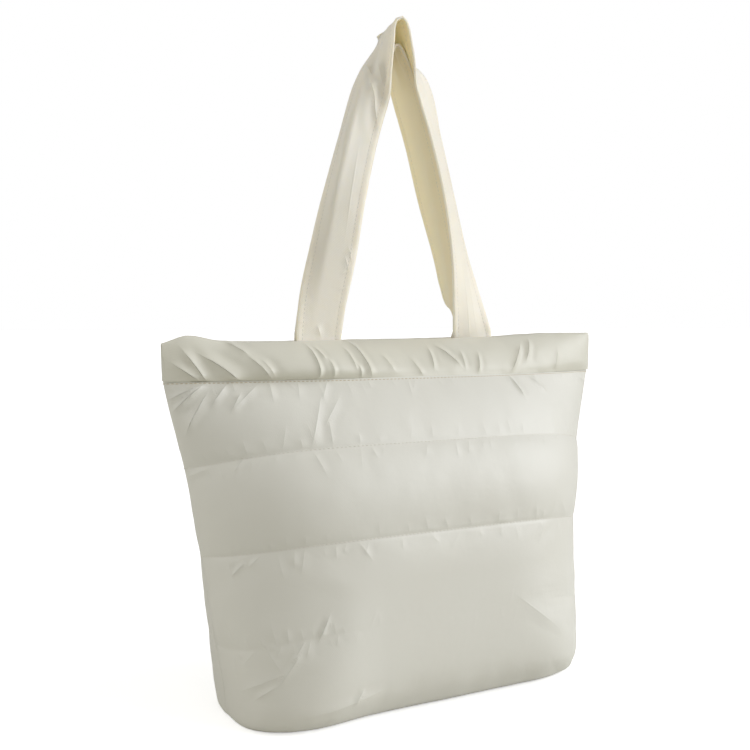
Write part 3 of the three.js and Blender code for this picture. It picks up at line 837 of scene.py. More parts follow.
def band_shape(context, seed, creases):
    """Points around the padded front band, its cloth coordinates and its crease lines."""
    sizes = context.scene.tote_sizes
    target, level = band_grid()
    rim = BAND_AROUND // 2
    around = np.arange(BAND_AROUND + 1)[:, None]
    held = np.zeros(level.shape)
    held[:, [0, 1, -2, -1]] = 1
    held[[0, -1]] = 1
    held[(around < rim) & (level < BAND_LINING_HELD)] = 1
    held[rim] = BAND_RIM_HOLD
    settled = target
    ruck = smooth_noise(level.shape, BAND_RUCK_SPREAD, seed) * sizes.ruck / MM * (held < 1)
    start = target + outward(target) * ruck[..., None]
    cut = target.copy()
    pull = BAND_PULL * np.tanh((BAND_PULL_TURNS - target[..., 0]) / BAND_PULL_SPAN) * level
    cut[..., 0] = cut[..., 0] * (1 + sizes.band_slack) + pull * (around >= rim)
    settled = settle_cloth(context, start, cut, held, sizes.pressure, sizes.frames)
    settled = target + gentle(settled - target, held, BAND_MOST_MOVE)
    settled = finer_lines(finer_lines(settled, 0), 1)
    base = finer_lines(finer_lines(target, 0), 1)
    level = finer_lines(finer_lines(level[..., None], 0), 1)[..., 0].clip(0, 1)
    outside = np.arange(len(base))[:, None] >= 2 * rim - BAND_CREASE_ROWS_IN
    rise = np.minimum(1, level / BAND_CREASE_RISE) * outside
    push = crease_push(base[..., 0], base[..., 2], creases) * rise
    lines = crease_lines(base[..., 0], base[..., 2], creases, rise)
    outer = settled + outward(settled) * push[..., None]
    outer[:, [0, -1]] = base[:, [0, -1]]
    outer[..., 1] = np.minimum(outer[..., 1], -HALF_GAP)
    place = np.stack((base[..., 0], -run_lengths(base, 0)), axis=-1)
    return outer, place, lines


def band_mesh(name, points, place, lines):
    """Closed mesh of a band: the roll, a strip under it and a cap at each end."""
    rows, columns = points.shape[:2]
    faces = grid_faces(rows, columns)
    index = np.arange(rows * columns).reshape(rows, columns)
    for c in range(columns - 1):
        faces.append([int(i) for i in (index[-1, c], index[0, c], index[0, c + 1], index[-1, c + 1])])
    for r in range(rows // 2):
        low, high = rows - 1 - r, rows - 2 - r
        left = [int(i) for i in (index[low, 0], index[high, 0], index[r + 1, 0], index[r, 0])]
        right = [int(i) for i in (index[r, -1], index[r + 1, -1], index[high, -1], index[low, -1])]
        faces += [list(dict.fromkeys(left)), list(dict.fromkeys(right))]
    return cloth_mesh(name, points.reshape(-1, 3), faces, place.reshape(-1, 2), lines)


def base_shape():
    """Rings of the padded base from the middle of its top, over the edge, to the middle underneath."""
    turn = np.linspace(0, 4, BASE_AROUND, endpoint=False)
    half = np.where(turn < 2, turn - 1, 3 - turn)
    side = np.where(turn < 2, 1, -1)

    def ring(inset, share, height):
        edge = sewn_points(half, np.zeros_like(half), BASE_ROUND_INSET + 2 * SEWN_GAP + inset)
        edge[..., 1] = np.where(np.abs(half) == 1, 0, edge[..., 1] * side)
        edge[..., :2] *= share
        edge[..., 2] = height
        return edge

    outward_shares = np.linspace(BASE_MIDDLE, 1, BASE_FLAT_RINGS)
    inward_shares = np.linspace(1 - BASE_MIDDLE, BASE_MIDDLE, BASE_FLAT_RINGS)
    top = [Ring(BASE_FLAT_INSET, share, BASE_THICKNESS - BASE_CROWN * share ** 2) for share in outward_shares]
    under = [Ring(BASE_FLAT_INSET, share, 0) for share in inward_shares]
    return np.array([ring(*row) for row in (*top, *BASE_EDGE, *under)])


def base_mesh(name, rings):
    """Closed mesh through the base's rings, with a fan in the middle above and below."""
    count, around = rings.shape[:2]
    index = np.arange(count * around).reshape(count, around)
    following = np.roll(index, -1, axis=1)
    quads = np.stack((index[:-1], following[:-1], following[1:], index[1:]), axis=-1)
    middle = [rings[0].mean(axis=0), rings[-1].mean(axis=0)]
    points = np.concatenate((rings.reshape(-1, 3), middle))
    faces = quads.reshape(-1, 4).tolist()
    over, below = count * around, count * around + 1
    for i in range(around):
        faces.append([over, int(following[0, i]), int(index[0, i])])
        faces.append([below, int(index[-1, i]), int(following[-1, i])])
    return cloth_mesh(name, points, faces, points[:, :2])


def strap_curve(route):
    """Close points of a strap's route on a centripetal spline, with the ribbon's shape at each."""
    places = np.array([(row.across, row.depth, RIM_HEIGHT + row.rise) for row in route], float)
    ends = np.concatenate(([2 * places[0] - places[1]], places, [2 * places[-1] - places[-2]]))
    points = []
    for p0, p1, p2, p3 in zip(ends, ends[1:], ends[2:], ends[3:]):
        d0, d1, d2 = (np.sqrt(np.linalg.norm(b - a)) for a, b in ((p0, p1), (p1, p2), (p2, p3)))
        out = ((p1 - p0) / d0 - (p2 - p0) / (d0 + d1) + (p2 - p1) / d1) * d1
        into = ((p2 - p1) / d1 - (p3 - p1) / (d1 + d2) + (p3 - p2) / d2) * d1
        t = np.linspace(0, 1, CURVE_STEPS, endpoint=False)[:, None]
        bend = (2 * p1 - 2 * p2 + out + into) * t ** 3 + (3 * p2 - 3 * p1 - 2 * out - into) * t ** 2
        points.append(bend + out * t + p1)
    points.append(places[-1:])
    points = np.concatenate(points)
    Step = namedtuple("Step", ("step", *Route._fields))
    steps = [Step(n, *row) for n, row in enumerate(route)]
    at = np.linspace(0, len(route) - 1, len(points))
    return points, {name: table_value(steps, "step", name, at) for name in ("turn", "fold", "curl", "width")}


def bent_section(fold, curl):
    """Places along and off a ribbon's flat line at each station, bent in its outer and inner thirds."""
    fine = np.linspace(-1, 1, (STRAP_FACE_POINTS - 1) * BEND_STEPS_PER_POINT + 1)
    angle = fold[:, None] * ease((STRAP_FOLD_AT - fine) / STRAP_BEND_SPAN + 0.5)
    angle = angle + curl[:, None] * ease((fine - STRAP_CURL_AT) / STRAP_BEND_SPAN + 0.5)
    step = fine[1] - fine[0]
    start = np.zeros((len(fold), 1))
    places = []
    for slope in (np.cos(angle), np.sin(angle)):
        run = np.concatenate((start, np.cumsum((slope[:, 1:] + slope[:, :-1]) / 2 * step, axis=1)), axis=1)
        places.append((run - run[:, len(fine) // 2, None])[:, ::BEND_STEPS_PER_POINT])
    return places


def band_inner_depth(x, z):
    """Depth of the band's inner face at a place."""
    up = (z - BAND_SEAM_HEIGHT) / (RIM_HEIGHT - RIM_SAG - BAND_SEAM_HEIGHT)
    _, _, inner, _, _ = band_roll(x / RIM_HALF_WIDTH, up)
    return np.maximum(HALF_GAP, inner - BAND_BULGE_IN * band_fullness(up))


def strap_spine(context, route, side, pleat_share):
    """Rows of points across a strap's middle, from one sewn foot to the other."""
    half = context.scene.tote_sizes.strap_width / MM / 2
    points, shape = strap_curve(route)
    length = run_lengths(points, 0)
    even = np.linspace(0, length[-1], int(length[-1] / STRAP_STEP) + 1)
    points = np.stack([np.interp(even, length, points[:, axis]) for axis in range(3)], axis=-1)
    shape = {name: np.interp(even, length, values) for name, values in shape.items()}
    turn = np.radians(shape["turn"])[:, None]
    tangent = np.gradient(points, axis=0)
    inward = np.stack((tangent[:, 2], np.zeros(len(tangent)), -tangent[:, 0]), axis=-1)
    inward /= np.linalg.norm(inward, axis=-1, keepdims=True)
    across = inward * np.cos(turn) + np.array((0, -1, 0)) * np.sin(turn)
    normal = np.cross(across, tangent)
    normal /= np.linalg.norm(normal, axis=-1, keepdims=True)
    along, off = bent_section(np.radians(shape["fold"]), np.radians(shape["curl"]))
    width = shape["width"][:, None]
    shares = np.linspace(-1, 1, STRAP_FACE_POINTS)
    gathered = np.sqrt(np.maximum(0, 1 / width - 1)) * 2 * half * width / (PLEATS * np.pi) * pleat_share
    pleat = gathered * np.sin(np.pi * PLEATS * shares + np.sin(even / PLEAT_WANDER)[:, None])
    reach = (along * half * width)[..., None]
    lift = (off * half * width + pleat)[..., None]
    loop = points[:, None] + across[:, None] * reach + normal[:, None] * lift
    feet = []
    for foot in (route[0], route[-1]):
        x = foot.across - np.sign(foot.across) * shares * half
        rows = [np.stack((x, side * (band_inner_depth(x, z) - FOOT_CLEARANCE), np.full_like(x, z)), axis=-1)
                for z in FOOT_LEVELS]
        feet.append(np.array(rows))
    return np.concatenate((feet[0], loop, feet[1][::-1]))


def hem_puckers(length, seed):
    """Short random creases across the hems of a strap."""
    chance = np.random.default_rng(seed)
    half = STRAP_HALF_WIDTH
    creases = []
    for side in (-1, 1):
        at = chance.uniform(*HEM_PUCKER_START)
        while at < length - HEM_PUCKER_END:
            reach = chance.uniform(*HEM_PUCKER_REACH)
            drift = chance.normal(0, HEM_PUCKER_DRIFT)
            ends = (side * half, at, side * (half - reach), at + drift)
            width = chance.uniform(*HEM_PUCKER_WIDTH)
            creases.append(Crease(*ends, width, chance.uniform(*HEM_PUCKER_DEPTH)))
            at += chance.uniform(*HEM_PUCKER_STEP)
    return creases


def strap_shape(context, spine, creases):
    """Closed loops of points around a strap, with its two faces, their directions and its crease lines."""
    sizes = context.scene.tote_sizes
    half_width = sizes.strap_width / MM / 2
    half_thick = sizes.strap_thickness / MM / 2
    normal = np.cross(np.gradient(spine, axis=1), np.gradient(spine, axis=0))
    normal /= np.linalg.norm(normal, axis=-1, keepdims=True)
    run = run_lengths(spine, 0)[:, STRAP_FACE_POINTS // 2, None]
    across = np.linspace(-half_width, half_width, STRAP_FACE_POINTS)[None]
    lift = crease_push(across * np.ones_like(run), run * np.ones_like(across), creases)
    hem = half_width - HEM_WIDTH
    thick = half_thick - HEM_GROOVE * np.exp(-((np.abs(across) - hem) / HEM_GROOVE_SPAN) ** 2)
    thick = thick - HEM_STEP * (1 / (1 + np.exp((np.abs(across) - hem) / HEM_STEP_SPAN)))
    thick = np.broadcast_to(thick, lift.shape)
    outer = spine + normal * (lift + thick)[..., None]
    inner = spine + normal * (lift - thick)[..., None]
    edges = []
    angles = np.linspace(np.pi / 2, -np.pi / 2, STRAP_EDGE_POINTS + 2)[1:-1]
    for column, neighbour in ((-1, -2), (0, 1)):
        out = spine[:, column] - spine[:, neighbour]
        out /= np.linalg.norm(out, axis=-1, keepdims=True)
        middle = spine[:, column] + normal[:, column] * lift[:, column, None]
        rim = []
        for angle in angles:
            rise = normal[:, column] * (half_thick * np.sin(angle))
            rim.append(middle + rise + out * (half_thick * STRAP_EDGE_ROUND * np.cos(angle)))
        edges.append(np.stack(rim, axis=1))
    loops = np.concatenate((outer, edges[0], inner[:, ::-1], edges[1][:, ::-1]), axis=1)
    rim = np.full((1, STRAP_EDGE_POINTS), half_width)
    around = np.concatenate((across, rim, across[:, ::-1], -rim), axis=1)
    lines = crease_lines(around * np.ones_like(run), run * np.ones_like(around), creases)
    return loops, outer, inner, normal, lines


def strap_mesh(name, loops, lines):
    """Closed mesh through a strap's loops, capped at its feet; its under face has cloth places past 0."""
    count, around = loops.shape[:2]
    index = np.arange(count * around).reshape(count, around)
    following = np.roll(index, -1, axis=1)
    quads = np.stack((index[:-1], following[:-1], following[1:], index[1:]), axis=-1)
    faces = quads.reshape(-1, 4).tolist()
    faces.append([int(i) for i in index[0, ::-1]])
    faces.append([int(i) for i in index[-1]])
    run = run_lengths(loops, 0)[:, 0, None] * np.ones((1, around))
    round_it = run_lengths(loops, 1).mean(axis=0)
    round_it = (round_it - round_it[STRAP_FACE_POINTS + STRAP_EDGE_POINTS])[None] * np.ones((count, 1))
    place = np.stack((round_it, run), axis=-1)
    return cloth_mesh(name, loops.reshape(-1, 3), faces, place.reshape(-1, 2), lines)


def stitch_nodes():
    """Geometry nodes that lay small rounded stitches along lines."""
    tree = bpy.data.node_groups.new("stitch_run", "GeometryNodeTree")
    items = tree.interface
    items.new_socket("Lines", in_out="INPUT", socket_type="NodeSocketGeometry")
    for name in ("Stitch Length", "Stitch Width", "Pitch"):
        items.new_socket(name, in_out="INPUT", socket_type="NodeSocketFloat")
    items.new_socket("Thread", in_out="INPUT", socket_type="NodeSocketMaterial")
    items.new_socket("Stitches", in_out="OUTPUT", socket_type="NodeSocketGeometry")
    node = tree.nodes.new
    source = node("NodeGroupInput")
    result = node("NodeGroupOutput")
    curve = node("GeometryNodeMeshToCurve")
    resample = node("GeometryNodeResampleCurve")
    resample.mode = "LENGTH"
    tangent = node("GeometryNodeInputTangent")
    align = node("FunctionNodeAlignRotationToVector")
    align.axis = "X"
    ball = node("GeometryNodeMeshUVSphere")
    for name, value in (("Segments", 6), ("Rings", 5), ("Radius", 0.5)):
        ball.inputs[name].default_value = value
    size = node("ShaderNodeCombineXYZ")
    place = node("GeometryNodeInstanceOnPoints")
    realize = node("GeometryNodeRealizeInstances")
    smooth = node("GeometryNodeSetShadeSmooth")
    paint = node("GeometryNodeSetMaterial")
    for start, output, end, entry in (
        (source, "Lines", curve, "Mesh"),
        (curve, "Curve", resample, "Curve"),
        (source, "Pitch", resample, "Length"),
        (resample, "Curve", place, "Points"),
        (ball, "Mesh", place, "Instance"),
        (tangent, "Tangent", align, "Vector"),
        (align, "Rotation", place, "Rotation"),
        (source, "Stitch Length", size, "X"),
        (source, "Stitch Width", size, "Y"),
        (source, "Stitch Width", size, "Z"),
        (size, "Vector", place, "Scale"),
        (place, "Instances", realize, "Geometry"),
        (realize, "Geometry", smooth, "Geometry"),
        (smooth, "Geometry", paint, "Geometry"),
        (source, "Thread", paint, "Material"),
        (paint, "Geometry", result, "Stitches"),
    ):
        tree.links.new(start.outputs[output], end.inputs[entry])
    return tree


def sew(context, name, lines, thread):
    """A run of stitches along lines of points, as one plain mesh."""
    sizes = context.scene.tote_sizes
    tree = bpy.data.node_groups.get("stitch_run") or stitch_nodes()
    points = np.concatenate(lines)
    edges = []
    first = 0
    for line in lines:
        edges += [(i, i + 1) for i in range(first, first + len(line) - 1)]
        first += len(line)
    guide_mesh = bpy.data.meshes.new(name + "_guide")
    guide_mesh.from_pydata((leaned(points) * MM).tolist(), edges, [])
    guide = bpy.data.objects.new(name + "_guide", guide_mesh)
    context.scene.collection.objects.link(guide)
    modifier = guide.modifiers.new("Stitches", "NODES")
    modifier.node_group = tree
    values = {
        "Stitch Length": sizes.stitch_length,
        "Stitch Width": sizes.stitch_width,
        "Pitch": sizes.stitch_length + sizes.stitch_gap,
        "Thread": thread,
    }
    for item in tree.interface.items_tree:
        if item.name in values:
            modifier[item.identifier] = values[item.name]
    graph = context.evaluated_depsgraph_get()
    mesh = bpy.data.meshes.new_from_object(guide.evaluated_get(graph), depsgraph=graph)
    mesh.name = name
    bpy.data.objects.remove(guide)
    bpy.data.meshes.remove(guide_mesh)
    mesh.materials.clear()
    return mesh


def turned(points):
    """The same points on the other side of the bag, half a turn about its upright axis."""
    return points * (-1, -1, 1)


class Signal:
    """A shader value that can stand in a Python sum."""

    def __init__(self, paint, socket):
        self.paint = paint
        self.socket = socket

    def sum(self, operation, *values):
        return self.paint.add("ShaderNodeMath", {"operation": operation}, dict(enumerate(values)))

    def __add__(self, other):
        return self.sum("ADD", self, other)

    def __radd__(self, other):
        return self.sum("ADD", other, self)

    def __sub__(self, other):
        return self.sum("SUBTRACT", self, other)

    def __mul__(self, other):
        return self.sum("MULTIPLY", self, other)

    def sine(self):
        return self.sum("SINE", self)

    def above(self, limit):
        return self.sum("GREATER_THAN", self, limit)

    def size(self):
        return self.sum("ABSOLUTE", self)

    def exponent(self):
        return self.sum("EXPONENT", self)


class Paint:
    """A material whose nodes are added one at a time, settings first and then inputs."""

    def __init__(self, name):
        self.material = bpy.data.materials.new(name)
        self.material.use_nodes = True
        self.tree = self.material.node_tree
        self.shader = self.tree.nodes["Principled BSDF"]

    def add(self, kind, settings=None, inputs=None, output=0):
        node = self.tree.nodes.new(kind)
        for name, value in (settings or {}).items():
            setattr(node, name, value)
        self.feed(node, inputs or {})
        return Signal(self, node.outputs[output])

    def feed(self, node, inputs):
        for key, value in inputs.items():
            if isinstance(value, Signal):
                self.tree.links.new(value.socket, node.inputs[key])
            else:
                node.inputs[key].default_value = value

    def mix(self, factor, first, second):
        colours = {MIX_FACTOR: factor, MIX_FIRST: first, MIX_SECOND: second}
        return self.add("ShaderNodeMix", {"data_type": "RGBA"}, colours, MIX_RESULT)

    def noise(self, place, scale, detail=3.0, rough=0.55):
        values = {"Vector": place, "Scale": scale, "Detail": detail, "Roughness": rough}
        return self.add("ShaderNodeTexNoise", None, values)

    def bump(self, height, distance, strength=1.0, normal=None):
        values = {"Height": height, "Distance": distance, "Strength": strength}
        if normal is not None:
            values["Normal"] = normal
        return self.add("ShaderNodeBump", None, values)


def cloth_place(paint, axis):
    """The piece's cloth coordinate across it or along it."""
    place = paint.add("ShaderNodeUVMap", {"uv_map": "Cloth"})
    return paint.add("ShaderNodeSeparateXYZ", None, {0: place}, axis)


def plain_weave(paint, pitch):
    """Height of a plain weave over the cloth coordinates, threads over and under by turns."""
    turn = math.pi / pitch
    return (cloth_place(paint, 0) * turn).sine() * (cloth_place(paint, 1) * turn).sine()


def fine_creases(paint):
    """Height in millimetres of the crease lines that a cloth mesh carries, sharp at each crest."""
    total = 0.0
    for label in LINE_SETS:
        values = paint.add("ShaderNodeAttribute", {"attribute_name": label}, None, "Vector")
        off = paint.add("ShaderNodeSeparateXYZ", None, {0: values}, 0)
        strength = paint.add("ShaderNodeSeparateXYZ", None, {0: values}, 1)
        total = total + strength * (off.size() * (-1 / LINE_WIDTH)).exponent()
    return total


def cloth_finish(name, look, light, deep, under=None):
    """Satin cloth: fine weave, soft crinkles, crease lines, a slight drift of colour and, when under is
    given, painted shade on a strap's under face.
    """
    paint = Paint(name)
    place = paint.add("ShaderNodeTexCoord", None, None, "Object")
    drift = paint.noise(place, DRIFT_SCALE, DRIFT_DETAIL)
    fine = paint.noise(place, CRINKLE_SCALE, CRINKLE_DETAIL, CRINKLE_ROUGH)
    weave = plain_weave(paint, look.weave_pitch)
    creased = paint.bump(fine, look.crinkle, 1.0)
    lined = paint.bump(fine_creases(paint), MM, 1.0, creased)
    woven = paint.bump(weave, look.weave_height, WEAVE_STRENGTH, lined)
    colour = paint.mix((drift - 0.5) * DRIFT_CONTRAST + 0.5, (*deep, 1), (*light, 1))
    # Painted shade: the strap's under face, from 0 to its width across, is tinted warm tan to stand for its
    # shade and the light through the cloth
    if under:
        across = cloth_place(paint, 0)
        colour = paint.mix(across.above(0.0) - across.above(PAINTED_SHADE_WIDTH), colour, (*under, 1))
    paint.feed(paint.shader, {
        "Base Color": colour,
        "Roughness": look.rough + (fine - 0.5) * ROUGH_SPREAD,
        "Normal": woven,
        "Sheen Weight": 0.18,
        "Sheen Roughness": 0.35,
        "Specular IOR Level": 0.45,
        "Subsurface Weight": look.through,
        "Subsurface Radius": (1.0, 0.85, 0.62),
        "Subsurface Scale": 0.006,
    })
    return paint.material


class ToteSizes(PropertyGroup):
    """Sizes of the padding, the cloth and the stitches."""

    puff: FloatProperty(name="Puff", description="Swell at a channel's crown", default=0.0035, unit="LENGTH")
    left_puff: FloatProperty(name="Left puff", description="Swell at the left", default=0.009, unit="LENGTH")
    slack_along: FloatProperty(name="Slack along", description="Spare cloth along a channel", default=0.02)
    slack_down: FloatProperty(name="Slack down", description="Spare cloth down a channel", default=0.008)
    ruck: FloatProperty(name="Ruck", description="Start of the creases", default=0.0003, unit="LENGTH")
    pressure: FloatProperty(name="Filling", description="Push of the filling on the cloth", default=40.0)
    frames: IntProperty(name="Frames", description="Steps that the cloth settles for", default=16)
    band_slack: FloatProperty(name="Band slack", description="Spare cloth along the band", default=0.02)
    strap_width: FloatProperty(name="Strap width", description="Across a strap", default=0.045, unit="LENGTH")
    strap_thickness: FloatProperty(name="Hem", description="Its thickness", default=0.0026, unit="LENGTH")
    stitch_length: FloatProperty(name="Stitch", description="Its length", default=0.003, unit="LENGTH")
    stitch_gap: FloatProperty(name="Gap", description="Between stitches", default=0.0009, unit="LENGTH")
    stitch_width: FloatProperty(name="Thread", description="Width of a stitch", default=0.0006, unit="LENGTH")
    most_move: FloatProperty(name="Most move", description="Cap on settling", default=0.004, unit="LENGTH")


class ToteFinish(PropertyGroup):
    """Colours of the cloth and thread, with painted shade in the bands' colours and on the straps' under
    face.
    """

    shell: FloatVectorProperty(name="Shell", description="Padded cloth", subtype="COLOR",
                               default=(0.735, 0.725, 0.655))
    shell_deep: FloatVectorProperty(name="Shell deep", description="Its deeper tone", subtype="COLOR",
                                    default=(0.715, 0.70, 0.625))
    # Painted shade: the band colours are the walls' nylon made darker and warmer to stand for the shade on
    # the band
    band: FloatVectorProperty(name="Band", description="Band cloth", subtype="COLOR",
                              default=(0.685, 0.67, 0.575))
    band_deep: FloatVectorProperty(name="Band deep", description="Its deeper tone", subtype="COLOR",
                                   default=(0.675, 0.655, 0.555))
    strap: FloatVectorProperty(name="Strap", description="Strap cloth", subtype="COLOR",
                               default=(0.87, 0.808, 0.685))
    strap_deep: FloatVectorProperty(name="Strap deep", description="Its deeper tone", subtype="COLOR",
                                    default=(0.86, 0.79, 0.66))
    # Painted shade: the colour of the strap's under face, a warm tan standing for its shade and the light
    # shining through the cloth
    strap_under: FloatVectorProperty(name="Strap under", description="Under face of a strap", subtype="COLOR",
                                     default=(0.90, 0.79, 0.565))
    thread: FloatVectorProperty(name="Thread", description="Sewing thread", subtype="COLOR",
                                default=(0.78, 0.745, 0.65))
    seam_thread: FloatVectorProperty(name="Seam thread", description="Under the bands", subtype="COLOR",
                                     default=(0.62, 0.5, 0.32))


class ToteStudio(PropertyGroup):
    """Camera and lights."""

    eye: FloatVectorProperty(name="Eye", description="Camera place", unit="LENGTH",
                             default=(-0.5143, -0.8588, 0.354))
    look: FloatVectorProperty(name="Look", description="Camera turn", subtype="EULER",
                              default=(math.radians(87.064), 0, math.radians(-29.39)))
    focal: FloatProperty(name="Focal length", description="Lens in millimetres", default=49.6)
    key: FloatProperty(name="Key", description="Strength of the broad light on the right", default=2.38)
    left: FloatProperty(name="Left", description="Strength of the light on the left", default=0.98)
    top: FloatProperty(name="Top", description="Strength of the light overhead", default=0.2)
    sky: FloatProperty(name="Sky", description="Brightness of the white surround", default=0.39)


class TOTE_OT_stage(Operator):
    """Set up the floor, camera and soft light"""

    bl_idname = "tote.stage"
    bl_label = "Studio"

    def execute(self, context):
        scene = context.scene
        studio = scene.tote_studio
        camera = bpy.data.cameras.new("studio_camera")
        camera.lens = studio.focal
        camera_object = bpy.data.objects.new("studio_camera", camera)
        camera_object.location = studio.eye
        camera_object.rotation_euler = Euler(studio.look)
        scene.collection.objects.link(camera_object)
        scene.camera = camera_object
        self.floor(scene)
        self.surround(scene, studio)
        for row in LAMPS:
            self.light(scene, row, getattr(studio, row.setting))
        scene.view_settings.view_transform = "Standard"
        return {"FINISHED"}

    def floor(self, scene):
        half = FLOOR_HALF
        corners = [(-half, -half, 0), (half, -half, 0), (half, half, 0), (-half, half, 0)]
        mesh = bpy.data.meshes.new("studio_floor")
        mesh.from_pydata(corners, [], [(0, 1, 2, 3)])
        paint = Paint("studio_floor")
        paint.feed(paint.shader, {
            "Base Color": FLOOR_COLOUR,
            "Roughness": 0.9,
            "Emission Color": (*WHITE, 1),
            "Emission Strength": FLOOR_GLOW,
        })
        bounce = paint.add("ShaderNodeBsdfDiffuse", None, {"Color": FLOOR_BOUNCE})
        seen = paint.add("ShaderNodeLightPath", None, None, "Is Camera Ray")
        shown = Signal(paint, paint.shader.outputs[0])
        mixed = paint.add("ShaderNodeMixShader", None, {0: seen, 1: bounce, 2: shown})
        paint.feed(paint.tree.nodes["Material Output"], {"Surface": mixed})
        mesh.materials.append(paint.material)
        floor = bpy.data.objects.new("studio_floor", mesh)
        scene.collection.objects.link(floor)

    def surround(self, scene, studio):
        world = bpy.data.worlds.new("studio_white")
        world.use_nodes = True
        nodes = world.node_tree.nodes
        link = world.node_tree.links.new
        lighting = nodes["Background"]
        lighting.inputs["Color"].default_value = (*SURROUND_COLOUR, 1)
        lighting.inputs["Strength"].default_value = studio.sky
        backdrop = nodes.new("ShaderNodeBackground")
        backdrop.inputs["Color"].default_value = (*WHITE, 1)
        seen = nodes.new("ShaderNodeLightPath")
        choose = nodes.new("ShaderNodeMixShader")
        link(seen.outputs["Is Camera Ray"], choose.inputs["Fac"])
        link(lighting.outputs["Background"], choose.inputs[1])
        link(backdrop.outputs["Background"], choose.inputs[2])
        link(choose.outputs["Shader"], nodes["World Output"].inputs["Surface"])
        scene.world = world

    def light(self, scene, row, strength):
        lamp = bpy.data.lights.new(row.name, "SUN")
        lamp.energy = strength
        lamp.color = row.colour
        lamp.angle = math.radians(row.spread)
        lamp_object = bpy.data.objects.new(row.name, lamp)
        tilt = math.pi / 2 - math.radians(row.climb)
        lamp_object.rotation_euler = Euler((tilt, 0, math.radians(row.heading)))
        scene.collection.objects.link(lamp_object)


def made_once(name, make, *values):
    """A material that several pieces share."""
    return bpy.data.materials.get(name) or make(name, *values)


def shell_cloth(context):
    """The walls' and base's satin nylon."""
    finish = context.scene.tote_finish
    return made_once("puffer_nylon", cloth_finish, NYLON_LOOK, finish.shell, finish.shell_deep)


def shaded_band_cloth(context):
    """The bands' nylon: the walls' cloth painted darker and warmer as painted shade."""
    finish = context.scene.tote_finish
    return made_once("band_nylon", cloth_finish, NYLON_LOOK, finish.band, finish.band_deep)


def strap_cloth(context):
    """The straps' warmer cloth, with painted shade in a warm tan on its under face, standing for its shade
    and for light shining through the cloth.
    """
    finish = context.scene.tote_finish
    return made_once(
        "strap_cloth", cloth_finish, STRAP_LOOK, finish.strap, finish.strap_deep, finish.strap_under)


def sewing_thread(context):
    """The thread of the quilting and the straps' hems."""
    return made_once("sewing_thread", spun_thread, context.scene.tote_finish.thread)


def seam_thread(context):
    """The tan thread that joins a wall to its band."""
    return made_once("seam_thread", spun_thread, context.scene.tote_finish.seam_thread)


def spun_thread(name, colour):
    """Spun thread with a twist along each stitch."""
    paint = Paint(name)
    place = paint.add("ShaderNodeTexCoord", None, None, "Object")
    strands = paint.noise(place, STRAND_SCALE, STRAND_DETAIL)
    dark = tuple(STRAND_DARK * value for value in colour)
    paint.feed(paint.shader, {
        "Base Color": paint.mix(strands, (*dark, 1), (*colour, 1)),
        "Roughness": STRAND_ROUGH + strands * STRAND_ROUGH_SPREAD,
        "Normal": paint.bump(strands, STRAND_HEIGHT),
    })
    return paint.material


class TOTE_OT_bands(Operator):
    """Pad the two bands round the mouth"""

    bl_idname = "tote.bands"
    bl_label = "Mouth bands"

    def execute(self, context):
        # The bands' nylon is painted darker and warmer than the walls' as painted shade
        nylon = shaded_band_cloth(context)
        for name, node, seed, creases, side in (
            ("padded_front_band", "front_band", 8, BAND_CREASES, 1),
            ("padded_back_band", "back_band", 31, BAND_CREASES[::2], -1),
        ):
            points, place, lines = band_shape(context, seed, creases)
            if side < 0:
                points, place, lines = points[:, ::-1] * (1, -1, 1), place[:, ::-1], lines[:, ::-1]
            mesh = band_mesh(name, points, place, lines)
            piece = add_piece(context, name, mesh, nylon, "quilted_shell", node)
        return {"FINISHED"}


class TOTE_OT_base(Operator):
    """Make the padded base with its edge seam"""

    bl_idname = "tote.base"
    bl_label = "Base"

    def execute(self, context):
        rings = base_shape()
        mesh = base_mesh("padded_base", rings)
        piece = add_piece(context, "padded_base", mesh, shell_cloth(context), "quilted_shell", "base_panel")
        return {"FINISHED"}


class TOTE_OT_straps(Operator):
    """Make the two raised straps with their edge stitching"""

    bl_idname = "tote.straps"
    bl_label = "Straps"

    def execute(self, context):
        sizes = context.scene.tote_sizes
        for name, node, band, route, creases, side, pleats, seed in (
            ("front_shoulder_strap", "front_strap", "front_band", FRONT_ROUTE, STRAP_CREASES, -1, 0.45, 51),
            ("back_shoulder_strap", "back_strap", "back_band", BACK_ROUTE, (), 1, 0.3, 62),
        ):
            spine = strap_spine(context, route, side, pleats)
            run = run_lengths(spine, 0)[-1].mean()
            puckers = hem_puckers(run, seed)
            loops, outer, inner, normal, lines = strap_shape(context, spine, [*creases, *puckers])
            mesh = strap_mesh(name, loops, lines)
            piece = add_piece(context, name, mesh, strap_cloth(context), "strap_fabric", node)
            hem = int(round(HEM_WIDTH / (sizes.strap_width / MM) * (STRAP_FACE_POINTS - 1)))
            seams = []
            for column in (hem, STRAP_FACE_POINTS - 1 - hem):
                seams.append(outer[:, column] - normal[:, column] * STITCH_SINK)
                seams.append(inner[:, column] + normal[:, column] * STITCH_SINK)
            thread = sewing_thread(context)
            label = name + "_stitching"
            stitching = add_piece(context, label, sew(context, label, seams, thread), thread, "strap_fabric")
        return {"FINISHED"}


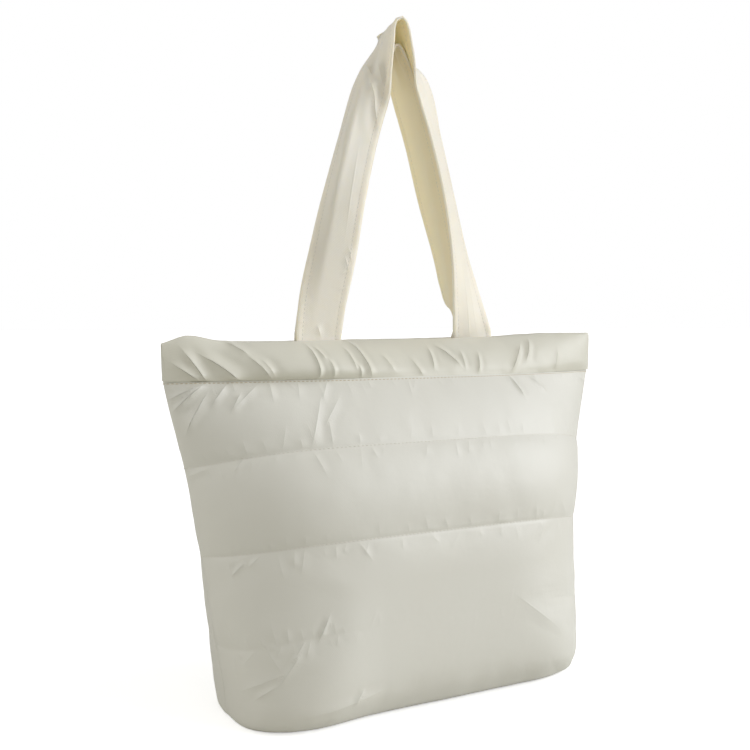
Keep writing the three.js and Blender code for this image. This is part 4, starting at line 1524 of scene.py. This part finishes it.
class TOTE_OT_walls(Operator):
    """Pad the front and back walls"""

    bl_idname = "tote.walls"
    bl_label = "Quilted walls"

    def execute(self, context):
        nylon = shell_cloth(context)
        for name, node, seed, creases, side in (
            ("padded_front_wall", "front_panel", 4, FRONT_CREASES, 1),
            ("padded_back_wall", "back_panel", 27, FRONT_CREASES[3:12], -1),
        ):
            outer, inner, place, seam_rows, fine = wall_shape(context, seed, creases)
            if side < 0:
                outer, inner = turned(outer), turned(inner)
            mesh = closed_shell(name, outer, inner, place, fine)
            piece = add_piece(context, name, mesh, nylon, "quilted_shell", node)
            for label, rows, thread in (
                (name + "_stitching", seam_rows[1:3], sewing_thread(context)),
                (name + "_band_seam", (1,), seam_thread(context)),
            ):
                stitches = sew(context, label, [outer[row] for row in rows], thread)
                add_piece(context, label, stitches, thread, "quilted_shell")
        return {"FINISHED"}


class TOTE_PT_parts(Panel):
    """Lists the steps that make the bag"""

    bl_idname = "TOTE_PT_parts"
    bl_label = "Tote bag"
    bl_space_type = "VIEW_3D"
    bl_region_type = "UI"
    bl_category = "Tote"

    def draw(self, context):
        for step in STEPS:
            self.layout.operator(step.bl_idname)


STEPS = (TOTE_OT_stage, TOTE_OT_walls, TOTE_OT_bands, TOTE_OT_base, TOTE_OT_straps)
CLASSES = (ToteSizes, ToteFinish, ToteStudio, *STEPS, TOTE_PT_parts)


def register():
    for item in CLASSES:
        bpy.utils.register_class(item)
    bpy.types.Scene.tote_sizes = PointerProperty(type=ToteSizes)
    bpy.types.Scene.tote_finish = PointerProperty(type=ToteFinish)
    bpy.types.Scene.tote_studio = PointerProperty(type=ToteStudio)


def unregister():
    del bpy.types.Scene.tote_studio
    del bpy.types.Scene.tote_finish
    del bpy.types.Scene.tote_sizes
    for item in reversed(CLASSES):
        bpy.utils.unregister_class(item)


def main():
    register()
    bpy.ops.tote.stage()
    bpy.ops.tote.walls()
    bpy.ops.tote.bands()
    bpy.ops.tote.base()
    bpy.ops.tote.straps()


if __name__ == "__main__":
    main()
